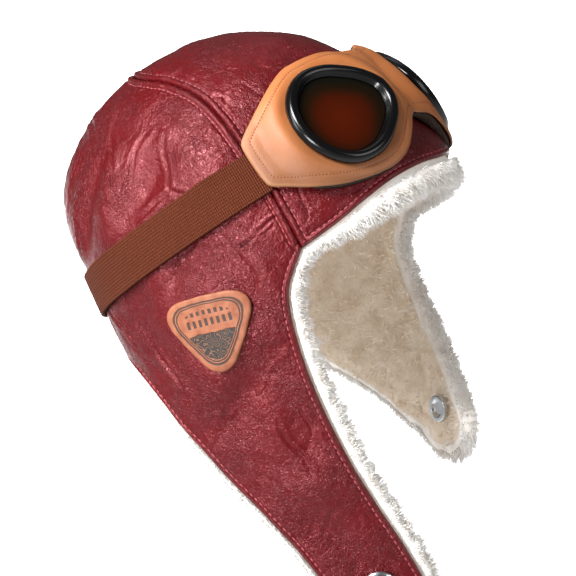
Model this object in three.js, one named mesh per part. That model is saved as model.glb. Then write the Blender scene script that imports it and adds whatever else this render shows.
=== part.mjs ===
import * as THREE from 'three';

// A child's lined leather hat in the old flying style, with goggles worn up on the crown.
// Millimetres. +Z is up, -Y is the brow, -X is the wearer's right.
// The origin is the seat: the inside top of the lining, where a head carries the hat.

// Driving dimensions: the space for the head and the two walls round it
const headHalfWidth = 72;
const headHalfDepth = 99;
const headRise = 95.5;
const fleeceWall = 7;
const leatherWall = 1.7;
const linerGap = 0.3;
const seamGap = 0.4;

// Driving dimensions: where the open edge runs, measured from the crown's widest level
const browHeight = 48.5;
const templeHeight = 10.3;
const napeDrop = 56;
const rightFlapDrop = 176;
const leftFlapDrop = 107;
const flapTipRadius = 19;
const seamHeight = 80;
const fleeceMargin = { brow: 10.5, temple: 5, flap: 7, rear: 2.6 };

// Driving dimensions: the goggles
const maskHalfSpan = 101;
const maskHalfHeight = 37;
const maskTilt = 50.8;
const maskWall = 2;
const paddingWall = 1.7;
const beddingGap = 0.5;
const layerGap = 1.1;
const lensOffset = 43;
const rimRadius = 28;
const rimWidth = 6.8;
const rimHeight = 5.5;
const rimSeat = 4.5;
const lensWall = 2;
const fitGap = 0.3;
const strapWidth = 22;
const strapWall = 1.8;
const strapLevel = 25;
const strapSlope = 0.695;

// Driving dimensions: the patch and the snaps
const patchWidth = 41;
const patchDepth = 36.5;
const patchWall = 1.4;
const snapRadius = 9;
const capHeight = 3;
const socketRadius = 7;
const socketHeight = 2.5;

// The outside of the leather round the head
const shellWall = fleeceWall + linerGap + leatherWall;
const halfWidth = headHalfWidth + shellWall;
const halfDepth = headHalfDepth + shellWall;
const rise = headRise + shellWall;
const degree = Math.PI / 180;
const mmPerDegree = halfDepth * 0.9 * degree;

// Level sections of the form, down from the full crown at the top row: down is a share of
// the right flap's drop, the widths are shares of the crown's half width and half depth, and
// brow and rear are the powers of the section's front and back corners
const sections = [
  { down: -0.55, side: 1, front: 0.89, back: 1, brow: 1.74, rear: 2 },
  { down: -0.4, side: 1, front: 0.89, back: 1, brow: 1.74, rear: 2 },
  { down: -0.3, side: 1, front: 0.98, back: 1.01, brow: 1.74, rear: 2 },
  { down: -0.22, side: 1, front: 1, back: 1.022, brow: 1.87, rear: 2 },
  { down: -0.13, side: 1, front: 1, back: 1.01, brow: 1.98, rear: 2 },
  { down: 0, side: 1, front: 1, back: 0.935, brow: 2, rear: 2 },
  { down: 0.1, side: 0.995, front: 1, back: 0.84, brow: 2.03, rear: 2.03 },
  { down: 0.2, side: 0.985, front: 1.005, back: 0.74, brow: 2.06, rear: 2.06 },
  { down: 0.34, side: 0.95, front: 1.02, back: 0.59, brow: 2.1, rear: 2.1 },
  { down: 0.51, side: 0.895, front: 1.035, back: 0.43, brow: 2.15, rear: 2.15 },
  { down: 0.68, side: 0.85, front: 1.075, back: 0.39, brow: 2.2, rear: 2.2 },
  { down: 0.91, side: 0.815, front: 1.13, back: 0.38, brow: 2.2, rear: 2.2 },
  { down: 1.2, side: 0.8, front: 1.175, back: 0.38, brow: 2.2, rear: 2.2 },
];

// Where the cross seam runs from the temple over the side to the back: height is a share
// of the rise from the temple to the seam's own height at the back
const seamRows = [
  { turn: 54.6, height: 0 },
  { turn: 60.2, height: 0.235 },
  { turn: 67.1, height: 0.46 },
  { turn: 77.4, height: 0.69 },
  { turn: 86.7, height: 0.835 },
  { turn: 100.5, height: 0.95 },
  { turn: 124.2, height: 1.02 },
  { turn: 152, height: 1.015 },
  { turn: 180, height: 1 },
];

// The brow edge from the middle to the temple, height as a share of the step between them
const browRows = [
  { turn: 0, height: 1 },
  { turn: 11.4, height: 0.965 },
  { turn: 23.7, height: 0.82 },
  { turn: 33.8, height: 0.6 },
  { turn: 44.7, height: 0.285 },
  { turn: 54.6, height: 0 },
];

// The front edge of a flap, down as a share of the flap's drop
const flapFrontRows = [
  { turn: 57.3, down: 0.005 },
  { turn: 58.6, down: 0.054 },
  { turn: 58.3, down: 0.103 },
  { turn: 56.1, down: 0.191 },
  { turn: 52, down: 0.297 },
  { turn: 46.5, down: 0.41 },
  { turn: 39.8, down: 0.53 },
  { turn: 31.8, down: 0.667 },
  { turn: 25.7, down: 0.774 },
];

// The rear edge of a flap up to the nape, down as a share of the step from nape to tip
const flapRearRows = [
  { turn: 49.5, down: 0.775 },
  { turn: 57, down: 0.667 },
  { turn: 68, down: 0.542 },
  { turn: 80.5, down: 0.421 },
  { turn: 92, down: 0.3 },
  { turn: 103, down: 0.192 },
  { turn: 111, down: 0.121 },
  { turn: 119, down: 0.065 },
  { turn: 128, down: 0.021 },
  { turn: 145, down: 0.003 },
  { turn: 180, down: 0 },
];
const snapTurn = 31.6;
const tipArc = { from: 175, bottom: 85, to: 40, steps: 9 };

// Dents (negative) and puffs (positive) of the leather. Turn is degrees round from the brow,
// to the right side when positive, up is a share of the rise or of the right flap's drop,
// run and reach are shares of the half width along and across the fold, lean is its slope
// in degrees from level, and lift is a share of the half width.
const folds = [
  { turn: 139, up: 0.19, run: 0.26, reach: 0.06, lean: 100, lift: -0.031 },
  { turn: 128, up: 0.25, run: 0.3, reach: 0.12, lean: 95, lift: 0.028 },
  { turn: 114, up: 0.33, run: 0.28, reach: 0.11, lean: 120, lift: -0.053 },
  { turn: 101, up: 0.52, run: 0.2, reach: 0.15, lean: 30, lift: 0.031 },
  { turn: 89, up: 0.42, run: 0.17, reach: 0.11, lean: 130, lift: 0.022 },
  { turn: 150, up: 0.6, run: 0.4, reach: 0.22, lean: 10, lift: 0.022 },
  { turn: 97, up: -0.02, run: 0.2, reach: 0.06, lean: 110, lift: -0.025 },
  { turn: 68, up: 0.03, run: 0.2, reach: 0.09, lean: 60, lift: 0.019 },
  { turn: 74, up: -0.36, run: 0.34, reach: 0.12, lean: 125, lift: -0.031 },
  { turn: 84, up: -0.32, run: 0.3, reach: 0.14, lean: 120, lift: 0.025 },
  { turn: 55, up: -0.43, run: 0.22, reach: 0.09, lean: 60, lift: -0.022 },
  { turn: 47, up: -0.6, run: 0.3, reach: 0.14, lean: 130, lift: 0.022 },
  { turn: 44, up: -0.74, run: 0.25, reach: 0.1, lean: 40, lift: -0.022 },
  { turn: 112, up: -0.2, run: 0.3, reach: 0.13, lean: 60, lift: -0.031 },
  { turn: -142, up: 0.25, run: 0.3, reach: 0.1, lean: 80, lift: -0.034 },
  { turn: -112, up: 0.36, run: 0.28, reach: 0.12, lean: 60, lift: -0.046 },
  { turn: -94, up: 0.5, run: 0.22, reach: 0.15, lean: 150, lift: 0.031 },
  { turn: -92, up: -0.05, run: 0.25, reach: 0.08, lean: 75, lift: -0.028 },
  { turn: -78, up: -0.3, run: 0.3, reach: 0.13, lean: 60, lift: -0.031 },
  { turn: -120, up: -0.22, run: 0.28, reach: 0.12, lean: 120, lift: -0.028 },
  { turn: 172, up: -0.12, run: 0.3, reach: 0.13, lean: 70, lift: -0.021 },
  { turn: -165, up: 0.1, run: 0.24, reach: 0.08, lean: 110, lift: -0.025 },
];

// A smooth value between the rows of a table, by cubic pieces
function readTable(rows, key, column, at) {
  const last = rows.length - 1;
  const x = THREE.MathUtils.clamp(at, rows[0][key], rows[last][key]);
  let i = 0;
  while (i < last - 1 && x > rows[i + 1][key]) i += 1;
  const slope = (k) => {
    const a = rows[Math.max(k - 1, 0)];
    const b = rows[Math.min(k + 1, last)];
    return (b[column] - a[column]) / (b[key] - a[key]);
  };
  const step = rows[i + 1][key] - rows[i][key];
  const t = (x - rows[i][key]) / step;
  const hold = rows[i][column] * (1 + 2 * t) * (1 - t) ** 2 + rows[i + 1][column] * t * t * (3 - 2 * t);
  return hold + step * (slope(i) * t * (1 - t) ** 2 - slope(i + 1) * t * t * (1 - t));
}

// How far out a point lies: 1 on the leather's plain outer form, more outside it
function outness(p) {
  const down = -p.z / rightFlapDrop;
  const power = readTable(sections, 'down', p.y < 0 ? 'brow' : 'rear', down);
  const side = halfWidth * readTable(sections, 'down', 'side', down);
  const depth = halfDepth * readTable(sections, 'down', p.y < 0 ? 'front' : 'back', down);
  const level = ((Math.abs(p.x) / side) ** power + (Math.abs(p.y) / depth) ** power) ** (1 / power);
  return Math.hypot(level, Math.max(p.z, 0) / rise);
}

// The point of the plain form beyond a guide point: straight out from the crown's centre
// above its widest level, and level from its axis below it
function ontoForm(guide) {
  const p = guide.clone();
  for (let pass = 0; pass < 8; pass += 1) {
    const scale = 1 / outness(p);
    p.set(p.x * scale, p.y * scale, guide.z > 0 ? p.z * scale : p.z);
  }
  return p;
}

function outward(p) {
  const step = 0.5;
  const slope = (axis) => {
    const ahead = p.clone();
    const behind = p.clone();
    ahead[axis] += step;
    behind[axis] -= step;
    return outness(ahead) - outness(behind);
  };
  return new THREE.Vector3(slope('x'), slope('y'), slope('z')).normalize();
}

// The place on the form at so many degrees round from the brow and so high
function place(turn, height) {
  const guide = new THREE.Vector3(-Math.sin(turn * degree), -Math.cos(turn * degree), 0);
  const level = Math.max(height, 0) / rise;
  guide.z = height;
  const reach = Math.sqrt(outness(guide) ** 2 - level * level);
  const ring = Math.sqrt(Math.max(1 - level * level, 0.0001)) / reach;
  return new THREE.Vector3(guide.x * ring, guide.y * ring, height);
}

function foldLift(p) {
  const turn = Math.atan2(-p.x, -p.y) / degree;
  return folds.reduce((sum, fold) => {
    const height = fold.up * (fold.up > 0 ? rise : rightFlapDrop);
    let away = turn - fold.turn;
    if (away > 180) away -= 360;
    if (away < -180) away += 360;
    const round = away * degree * Math.hypot(p.x, p.y);
    const along = round * Math.cos(fold.lean * degree) + (p.z - height) * Math.sin(fold.lean * degree);
    const across = (p.z - height) * Math.cos(fold.lean * degree) - round * Math.sin(fold.lean * degree);
    const fade = (along / (fold.run * halfWidth)) ** 2 + (across / (fold.reach * halfWidth)) ** 2;
    return sum + fold.lift * halfWidth * Math.exp(-fade);
  }, 0);
}

// A point on the folded leather surface, lifted off it by so much
function onLeather(guide, lift) {
  const p = ontoForm(guide);
  return p.clone().addScaledVector(outward(p), foldLift(p) + lift);
}

// A smooth curve through table points, in a flat chart of the hat: millimetres round and up
function chartCurve(points) {
  const curve = new THREE.CatmullRomCurve3(
    points.map(([turn, height]) => new THREE.Vector3(turn * mmPerDegree, height, 0)),
    false,
    'centripetal',
  );
  curve.arcLengthDivisions = 600;
  return (share) => {
    const at = curve.getPointAt(THREE.MathUtils.clamp(share, 0, 1));
    return [at.x / mmPerDegree, at.y];
  };
}

const seamCurve = chartCurve(
  seamRows.map((row) => [row.turn, templeHeight + row.height * (seamHeight - templeHeight)]),
);
const browCurve = chartCurve(
  browRows.map((row) => [row.turn, templeHeight + row.height * (browHeight - templeHeight)]),
);

// The edges of one side panel: down the flap's front to the tip, and up its rear to the nape
function flapEdges(drop) {
  const snapHeight = flapTipRadius - drop;
  const arc = Array.from({ length: tipArc.steps + 1 }, (_, i) => {
    const angle = THREE.MathUtils.lerp(tipArc.from, tipArc.to, i / tipArc.steps) * degree;
    const round = (flapTipRadius * Math.cos(angle)) / mmPerDegree;
    return [snapTurn + round, snapHeight - flapTipRadius * Math.sin(angle)];
  });
  const bottom = Math.round((tipArc.steps * (tipArc.from - tipArc.bottom)) / (tipArc.from - tipArc.to));
  const temple = seamRows[0].turn;
  const front = flapFrontRows.map((row) => [row.turn, -row.down * drop]);
  const rear = flapRearRows.map((row) => [row.turn, -napeDrop - row.down * (drop - napeDrop)]);
  return {
    front: chartCurve([[temple, templeHeight], ...front, ...arc.slice(0, bottom + 1)]),
    rear: chartCurve([...arc.slice(bottom), ...rear]),
    snap: [snapTurn, snapHeight],
  };
}

const rightEdges = flapEdges(rightFlapDrop);
const leftEdges = flapEdges(leftFlapDrop);
const seamSteps = 14;
const sideSteps = 18;
const crownSteps = 10;
const tipCrowding = 0.2;

// Columns lie closer together towards the temple and the flap's tip
function spread(share) {
  return share * (1 - tipCrowding + tipCrowding * share);
}

// Grids of guide points. A side panel runs from its front edge (u 0) to the back seam (u 1)
// and from the cross seam (v 0) to the flap's rear edge and the nape (v 1).
function sideGrid(edges, hand) {
  const backSeam = (v) => [180, THREE.MathUtils.lerp(seamHeight, -napeDrop, v)];
  return grid(seamSteps, sideSteps, (column, v) => {
    const u = spread(column);
    const top = seamCurve(u);
    const low = edges.rear(u);
    const fore = edges.front(v);
    const aft = backSeam(v);
    const tip = edges.front(1);
    const mix = [0, 1].map((k) => {
      const edgesMix = (1 - v) * top[k] + v * low[k] + (1 - u) * fore[k] + u * aft[k];
      const corners = (1 - u) * ((1 - v) * seamCurve(0)[k] + v * tip[k]);
      return edgesMix - corners - u * ((1 - v) * backSeam(0)[k] + v * backSeam(1)[k]);
    });
    return place(hand * mix[0], mix[1]);
  });
}

// The crown panel runs from the right temple (u 0) to the left (u 1) and from the brow
// edge (v 0) back to the cross seam (v 1)
function crownGrid() {
  return grid(2 * seamSteps, crownSteps, (u, v) => {
    const hand = u < 0.5 ? 1 : -1;
    const share = spread(1 - Math.abs(2 * u - 1));
    const [browTurn, browZ] = browCurve(1 - share);
    const [seamTurn, seamZ] = seamCurve(share);
    const fore = place(hand * browTurn, browZ);
    const aft = place(hand * seamTurn, seamZ);
    const angle = fore.angleTo(aft);
    if (angle < 0.001) return fore;
    const a = fore.normalize().multiplyScalar(Math.sin((1 - v) * angle));
    const b = aft.normalize().multiplyScalar(Math.sin(v * angle));
    return ontoForm(a.add(b));
  });
}

function grid(columns, rows, at) {
  return Array.from({ length: rows + 1 }, (_, j) => (
    Array.from({ length: columns + 1 }, (__, i) => at(i / columns, j / rows))
  ));
}

// A mesh built point by point. Points that fall together are one, and slivers are left out.
class Sheet {
  constructor() {
    this.points = [];
    this.faces = [];
    this.known = new Map();
  }

  point(p) {
    const key = [p.x, p.y, p.z].map((value) => Math.round(value * 1000)).join();
    if (!this.known.has(key)) {
      this.known.set(key, this.points.length);
      this.points.push(p);
    }
    return this.known.get(key);
  }

  triangle(a, b, c) {
    const [i, j, k] = [a, b, c].map((p) => this.point(p));
    if (i !== j && j !== k && k !== i) this.faces.push(i, j, k);
  }

  quad(a, b, c, d) {
    const shortFirst = a.distanceToSquared(c) < b.distanceToSquared(d);
    if (shortFirst) {
      this.triangle(a, b, c);
      this.triangle(a, c, d);
    } else {
      this.triangle(a, b, d);
      this.triangle(b, c, d);
    }
  }

  // Quads between rows of points, the rows closed into rings if asked
  strip(rows, closed) {
    for (let j = 0; j < rows.length - 1; j += 1) {
      const count = closed ? rows[j].length : rows[j].length - 1;
      for (let i = 0; i < count; i += 1) {
        const next = (i + 1) % rows[j].length;
        this.quad(rows[j][i], rows[j][next], rows[j + 1][next], rows[j + 1][i]);
      }
    }
  }

  geometry() {
    const geometry = new THREE.BufferGeometry();
    const flat = this.points.flatMap((p) => [p.x, p.y, p.z]);
    geometry.setAttribute('position', new THREE.Float32BufferAttribute(flat, 3));
    geometry.setIndex(signedVolume(this.points, this.faces) < 0 ? turned(this.faces) : this.faces);
    geometry.computeVertexNormals();
    return geometry;
  }
}

function signedVolume(points, faces) {
  let sum = 0;
  for (let i = 0; i < faces.length; i += 3) {
    const [a, b, c] = [0, 1, 2].map((k) => points[faces[i + k]]);
    sum += a.dot(new THREE.Vector3().crossVectors(b, c));
  }
  return sum;
}

function turned(faces) {
  return faces.map((_, i) => faces[i - (i % 3) + [0, 2, 1][i % 3]]);
}

// A closed wall over a grid of guides, between two lifts, drawn in from the edges that
// meet another panel
function wall(guides, outerLift, innerLift, drawnIn) {
  const sheet = new Sheet();
  const inset = guides.map((row) => row.map((p) => p.clone()));
  drawnIn(inset);
  const outer = inset.map((row) => row.map((p) => onLeather(p, outerLift)));
  const inner = inset.map((row) => row.map((p) => onLeather(p, innerLift)));
  sheet.strip(outer, false);
  sheet.strip(inner.map((row) => [...row].reverse()), false);
  const rim = (cells) => [
    ...cells[0],
    ...cells.slice(1).map((row) => row.at(-1)),
    ...[...cells.at(-1)].reverse().slice(1),
    ...cells.slice(1, -1).reverse().map((row) => row[0]),
  ];
  sheet.strip([rim(inner), rim(outer)], true);
  return sheet.geometry();
}

function nudge(guides, j, i, toward) {
  const p = guides[j][i];
  const q = guides[toward[0]][toward[1]];
  const pull = q.clone().sub(p);
  if (pull.length() > seamGap) p.addScaledVector(pull.normalize(), seamGap * 0.6);
}

function crownPanel() {
  const last = crownSteps;
  return wall(crownGrid(), 0, -leatherWall, (g) => {
    for (let i = 1; i < g[0].length - 1; i += 1) nudge(g, last, i, [last - 1, i]);
    const pulls = [[0, 1], [g[0].length - 1, g[0].length - 2]];
    pulls.forEach(([end, near]) => {
      const p = g[0][end].clone();
      const pull = g[Math.floor(last / 2)][near].clone().sub(p).normalize();
      p.addScaledVector(pull, seamGap * 2);
      g.forEach((row) => row[end].copy(p));
    });
  });
}

function sidePanel(edges, hand) {
  return wall(sideGrid(edges, hand), 0, -leatherWall, (g) => {
    for (let i = 0; i <= seamSteps; i += 1) nudge(g, 0, i, [1, i]);
    for (let j = 0; j <= sideSteps; j += 1) nudge(g, j, seamSteps, [j, seamSteps - 1]);
  });
}

// The lining in one body: the panels' own grids sewn together inside the leather, and a
// fleece roll in locks along the whole open edge, where it turns up beside the leather
function lining() {
  const sheet = new Sheet();
  const outerLift = -leatherWall - linerGap;
  const innerLift = outerLift - fleeceWall;
  const crown = crownGrid();
  const right = sideGrid(rightEdges, 1);
  const left = sideGrid(leftEdges, -1).map((row) => [...row].reverse());
  [crown, right, left].forEach((guides) => {
    sheet.strip(guides.map((row) => row.map((p) => onLeather(p, outerLift))), false);
    const inner = guides.map((row) => row.map((p) => onLeather(p, innerLift)));
    sheet.strip(inner.map((row) => [...row].reverse()), false);
  });
  const edge = openEdge(crown, right, left);
  const roll = edge.map(({ guide, margin }, i) => {
    const before = edge[(i + edge.length - 1) % edge.length].guide;
    const after = edge[(i + 1) % edge.length].guide;
    const p = onLeather(guide, 0);
    const up = outward(ontoForm(guide));
    const away = after.clone().sub(before).cross(up).normalize();
    const lock = 1 + 0.13 * (i % 2 === 0 ? 1 : -1) + 0.07 * Math.sin(i * 2.3);
    const reach = margin * lock;
    const at = (out, lift) => p.clone().addScaledVector(away, out).addScaledVector(up, lift);
    const clear = linerGap + 0.1;
    return [
      onLeather(guide, outerLift),
      at(clear, outerLift),
      at(clear, -clear),
      at(clear + reach * 0.4, 0.5 * lock),
      at(clear + reach * 0.88, -0.28 * fleeceWall),
      at(clear + reach, -0.62 * fleeceWall),
      at(clear + reach * 0.7, -1.05 * fleeceWall),
      onLeather(guide, innerLift),
    ];
  });
  const rings = roll[0].map((_, k) => roll.map((section) => section[k]));
  sheet.strip(rings.reverse(), true);
  return sheet.geometry();
}

// The open edge as one loop: the brow from right to left, down and up the left flap, the
// nape, and down and up the right flap
function openEdge(crown, right, left) {
  const margin = fleeceMargin;
  const soft = (a, b, t) => THREE.MathUtils.lerp(a, b, THREE.MathUtils.smoothstep(t, 0, 1));
  const browMargin = (t) => soft(margin.temple, margin.brow, Math.sin(Math.PI * t) * 1.3);
  const frontMargin = (t) => soft(margin.temple, margin.flap, t * 3);
  const rearMargin = (t) => soft(margin.flap, margin.rear, t * 5);
  const loop = [];
  crown[0].forEach((guide, i) => loop.push({ guide, margin: browMargin(i / (2 * seamSteps)) }));
  for (let j = 1; j <= sideSteps; j += 1) {
    loop.push({ guide: left[j][seamSteps], margin: frontMargin(j / sideSteps) });
  }
  for (let i = 1; i <= seamSteps; i += 1) {
    loop.push({ guide: left[sideSteps][seamSteps - i], margin: rearMargin(i / seamSteps) });
  }
  for (let i = seamSteps - 1; i >= 0; i -= 1) {
    loop.push({ guide: right[sideSteps][i], margin: rearMargin(i / seamSteps) });
  }
  for (let j = sideSteps - 1; j > 0; j -= 1) {
    loop.push({ guide: right[j][0], margin: frontMargin(j / sideSteps) });
  }
  return loop;
}

// The goggles are laid out on a chart of their own: millimetres across from the middle, to
// the right when positive, and up, round an axis tilted up from level
const chartRadius = (halfDepth + rise) / 2;
const ahead = new THREE.Vector3(0, -Math.cos(maskTilt * degree), Math.sin(maskTilt * degree));
const upward = new THREE.Vector3(0, Math.sin(maskTilt * degree), Math.cos(maskTilt * degree));

function onChart(across, up) {
  const turn = across / chartRadius;
  const climb = up / chartRadius;
  const direction = ahead.clone().multiplyScalar(Math.cos(turn) * Math.cos(climb));
  direction.x -= Math.sin(turn) * Math.cos(climb);
  return direction.addScaledVector(upward, Math.sin(climb));
}

// Each lens sits in a plane across the form. The mask is flat under the rim, and falls
// back to the form round it.
const maskUnder = beddingGap + paddingWall + layerGap;
const maskOver = maskUnder + maskWall;

function lensFrame(hand) {
  const centre = ontoForm(onChart(hand * lensOffset, 0));
  const normal = outward(centre);
  const side = new THREE.Vector3().crossVectors(upward, normal).normalize();
  const up = new THREE.Vector3().crossVectors(normal, side);
  return { centre, normal, side: side.multiplyScalar(hand), up };
}
const lensFrames = { right: lensFrame(1), left: lensFrame(-1) };

// The rim's outline: radius as a share of the rim radius at each angle, from the nose side
// upwards
const rimRows = [
  { angle: 0, reach: 1.062 },
  { angle: 22, reach: 0.985 },
  { angle: 45, reach: 0.935 },
  { angle: 67, reach: 0.958 },
  { angle: 98, reach: 1.016 },
  { angle: 135, reach: 1.02 },
  { angle: 172, reach: 1.009 },
  { angle: 200, reach: 1.015 },
  { angle: 235, reach: 1.035 },
  { angle: 262, reach: 0.988 },
  { angle: 300, reach: 0.943 },
  { angle: 340, reach: 1.045 },
  { angle: 360, reach: 1.062 },
];

function rimReach(angle) {
  const turn = ((angle % 360) + 360) % 360;
  return rimRadius * readTable(rimRows, 'angle', 'reach', turn);
}

function inLensPlane(frame, angle, reach, height) {
  const p = frame.centre.clone().addScaledVector(frame.side, reach * Math.cos(angle * degree));
  p.addScaledVector(frame.up, reach * Math.sin(angle * degree));
  return p.addScaledVector(frame.normal, height);
}

// A point of one layer of the goggles: on the form lifted by so much, and where the layer
// is flat, in the plane under the rim
function onMask(guide, lift, frame, flat) {
  const p = ontoForm(guide);
  const lifted = p.clone().addScaledVector(outward(p), lift);
  if (!flat) return lifted;
  const fromCentre = lifted.clone().sub(frame.centre);
  const height = fromCentre.dot(frame.normal);
  const reach = Math.sqrt(Math.max(fromCentre.lengthSq() - height * height, 0));
  const share = 1 - THREE.MathUtils.smoothstep(reach, rimRadius * 1.1, rimRadius * 1.5);
  return lifted.addScaledVector(frame.normal, (lift - height) * share);
}

// One half of the mask's outline, from the middle of the top round the strap end to the
// nose notch: across and up as shares of the half span and the half height
const maskRows = [
  { across: 0, up: 0.72 },
  { across: 0.087, up: 0.771 },
  { across: 0.189, up: 0.894 },
  { across: 0.289, up: 0.974 },
  { across: 0.388, up: 1.035 },
  { across: 0.448, up: 1.067 },
  { across: 0.554, up: 1.036 },
  { across: 0.669, up: 0.959 },
  { across: 0.776, up: 0.875 },
  { across: 0.915, up: 0.74 },
  { across: 0.938, up: 0.68 },
  { across: 0.996, up: -0.02 },
  { across: 0.986, up: -0.11 },
  { across: 0.922, up: -0.302 },
  { across: 0.809, up: -0.61 },
  { across: 0.714, up: -0.801 },
  { across: 0.597, up: -0.931 },
  { across: 0.479, up: -1.002 },
  { across: 0.387, up: -1.012 },
  { across: 0.283, up: -0.941 },
  { across: 0.181, up: -0.769 },
  { across: 0.083, up: -0.586 },
  { across: 0, up: -0.5 },
];
const goggleRays = 28;
const goggleRows = 3;
const paddingEnd = 0.83;

function halfOutline(count) {
  const outline = new THREE.CatmullRomCurve3(
    maskRows.map((row) => new THREE.Vector3(row.across * maskHalfSpan, row.up * maskHalfHeight, 0)),
    false,
    'centripetal',
  );
  outline.arcLengthDivisions = 400;
  const closing = 4;
  const run = Array.from({ length: count - closing + 1 }, (_, i) => (
    outline.getPointAt(i / (count - closing))
  ));
  const low = run.at(-1);
  const high = run[0];
  for (let i = 1; i < closing; i += 1) run.push(low.clone().lerp(high, i / closing));
  return run;
}

// One layer of the goggles, in two halves that are sewn along the middle, each a fan of
// strips from the lens hole to the outline, or to a limit short of the strap
function goggleLayer(inner, outer, limit) {
  const sheet = new Sheet();
  const outline = halfOutline(goggleRays);
  [1, -1].forEach((hand) => {
    const frame = hand > 0 ? lensFrames.right : lensFrames.left;
    const rays = outline.map(({ x, y }) => {
      const reach = x > limit * maskHalfSpan ? (limit * maskHalfSpan - lensOffset) / (x - lensOffset) : 1;
      const end = ontoForm(onChart(hand * (lensOffset + (x - lensOffset) * reach), y * reach));
      const away = end.clone().sub(frame.centre);
      const angle = Math.atan2(away.dot(frame.up), away.dot(frame.side)) / degree;
      const start = inLensPlane(frame, angle, rimReach(angle) - rimSeat, 0);
      return Array.from({ length: goggleRows + 1 }, (_, k) => start.clone().lerp(end, k / goggleRows));
    });
    const face = ({ lift, flat }) => Array.from({ length: goggleRows + 1 }, (_, k) => (
      rays.map((ray, i) => {
        const p = onMask(ray[k], lift, frame, flat);
        if (outline[i].x < 0.001 && k === goggleRows) p.x = 0;
        return p;
      })
    ));
    const over = face(outer);
    const under = face(inner);
    const facing = (rings) => (hand > 0 ? rings : rings.map((ring) => [...ring].reverse()));
    sheet.strip(facing(over), true);
    sheet.strip(facing([...under].reverse()), true);
    sheet.strip(facing([under[0], over[0]]), true);
    const free = outline.findIndex((p, i) => i > 0 && p.x < 0.001) + 1;
    const edge = [over[goggleRows].slice(0, free), under[goggleRows].slice(0, free)];
    sheet.strip(facing(edge), false);
  });
  return sheet.geometry();
}

// The rim: a rounded ring standing on the flat of the mask
const rimProfile = [
  { inset: 0, height: 0 },
  { inset: 0, height: 0.55 },
  { inset: 0.18, height: 0.88 },
  { inset: 0.5, height: 1 },
  { inset: 0.85, height: 0.86 },
  { inset: 1, height: 0.5 },
  { inset: 1, height: 0 },
];
const rimSides = 28;

function rimRing(frame) {
  const sheet = new Sheet();
  const seat = maskOver + fitGap;
  const sections = rimProfile.map(({ inset, height }) => (
    Array.from({ length: rimSides }, (_, i) => {
      const angle = (360 * i) / rimSides;
      const reach = rimReach(angle) - inset * rimWidth;
      return inLensPlane(frame, angle, reach, seat + height * rimHeight);
    })
  ));
  sheet.strip([...sections, sections[0]], true);
  return sheet.geometry();
}

// The lens: a thin disc let into the rim, a little crowned
function lensDisc(frame) {
  const sheet = new Sheet();
  const low = maskOver + fitGap;
  const ring = (share, height) => Array.from({ length: rimSides }, (_, i) => {
    const angle = (360 * i) / rimSides;
    return inLensPlane(frame, angle, share * (rimReach(angle) - rimWidth - fitGap), height);
  });
  const middle = (height) => Array.from({ length: rimSides }, () => (
    inLensPlane(frame, 0, 0, height)
  ));
  const top = low + lensWall;
  sheet.strip([middle(low), ring(1, low), ring(1, top), middle(top + lensWall / 2)], true);
  return sheet.geometry();
}

// The strap: a flat band that keeps to a plane sloping down from the goggles to the back.
// It begins just clear of the mask's end.
const strapClearance = 1.3;
const maskEnd = onChart(maskHalfSpan, 0);
const strapStart = Math.atan2(-maskEnd.x, -maskEnd.y) / degree + strapClearance;
const strapStations = 46;
const strapLift = 1;

function strapLine(turn) {
  let height = strapLevel;
  for (let i = 0; i < 12; i += 1) height = strapLevel - strapSlope * place(turn, height).y;
  return place(turn, height);
}

function strapBand() {
  const sheet = new Sheet();
  const span = 360 - 2 * strapStart;
  const sections = Array.from({ length: strapStations + 1 }, (_, i) => {
    const turn = strapStart + (span * i) / strapStations;
    const middle = strapLine(turn);
    const along = strapLine(turn + 1).sub(strapLine(turn - 1));
    const across = new THREE.Vector3().crossVectors(outward(middle), along).normalize();
    const at = (share, lift) => (
      onLeather(middle.clone().addScaledVector(across, share * strapWidth), lift)
    );
    const shares = [-0.5, 0, 0.5];
    const low = shares.map((share) => at(share, strapLift));
    const high = shares.map((share) => at(share, strapLift + strapWall));
    return [...low, ...high.reverse()];
  });
  sheet.strip(sections, true);
  const cap = ([a, b, c, d, e, f]) => {
    sheet.quad(a, b, e, f);
    sheet.quad(b, c, d, e);
  };
  cap([...sections[0]].reverse());
  cap(sections.at(-1));
  return sheet.geometry();
}

// The patch: a triangle with round corners and bowed sides, sewn on the right side
const patchTurn = 84.5;
const patchHeight = -29;
const patchLean = 17;
const patchSides = 24;

function patchOutline(share) {
  const angle = 2 * Math.PI * share;
  const lobes = 1 + 0.17 * Math.cos(3 * (angle + Math.PI / 2)) + 0.03 * Math.cos(6 * (angle + Math.PI / 2));
  const x = (patchWidth / 2) * lobes * Math.cos(angle);
  const y = (patchDepth / 2) * lobes * Math.sin(angle);
  const lean = patchLean * degree;
  return [x * Math.cos(lean) - y * Math.sin(lean), x * Math.sin(lean) + y * Math.cos(lean)];
}

function patch() {
  const sheet = new Sheet();
  const ring = (scale, lift) => Array.from({ length: patchSides }, (_, i) => {
    const [x, y] = patchOutline(i / patchSides);
    const radius = Math.hypot(place(patchTurn, patchHeight).x, place(patchTurn, patchHeight).y);
    const turn = patchTurn - (scale * x) / (radius * degree);
    return onLeather(place(turn, patchHeight + scale * y), lift);
  });
  const low = fitGap + 0.2;
  const high = low + patchWall;
  const scales = [0, 0.5, 1];
  const rings = [...scales.map((s) => ring(s, low)), ...[...scales].reverse().map((s) => ring(s, high))];
  sheet.strip(rings, true);
  return sheet.geometry();
}

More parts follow.
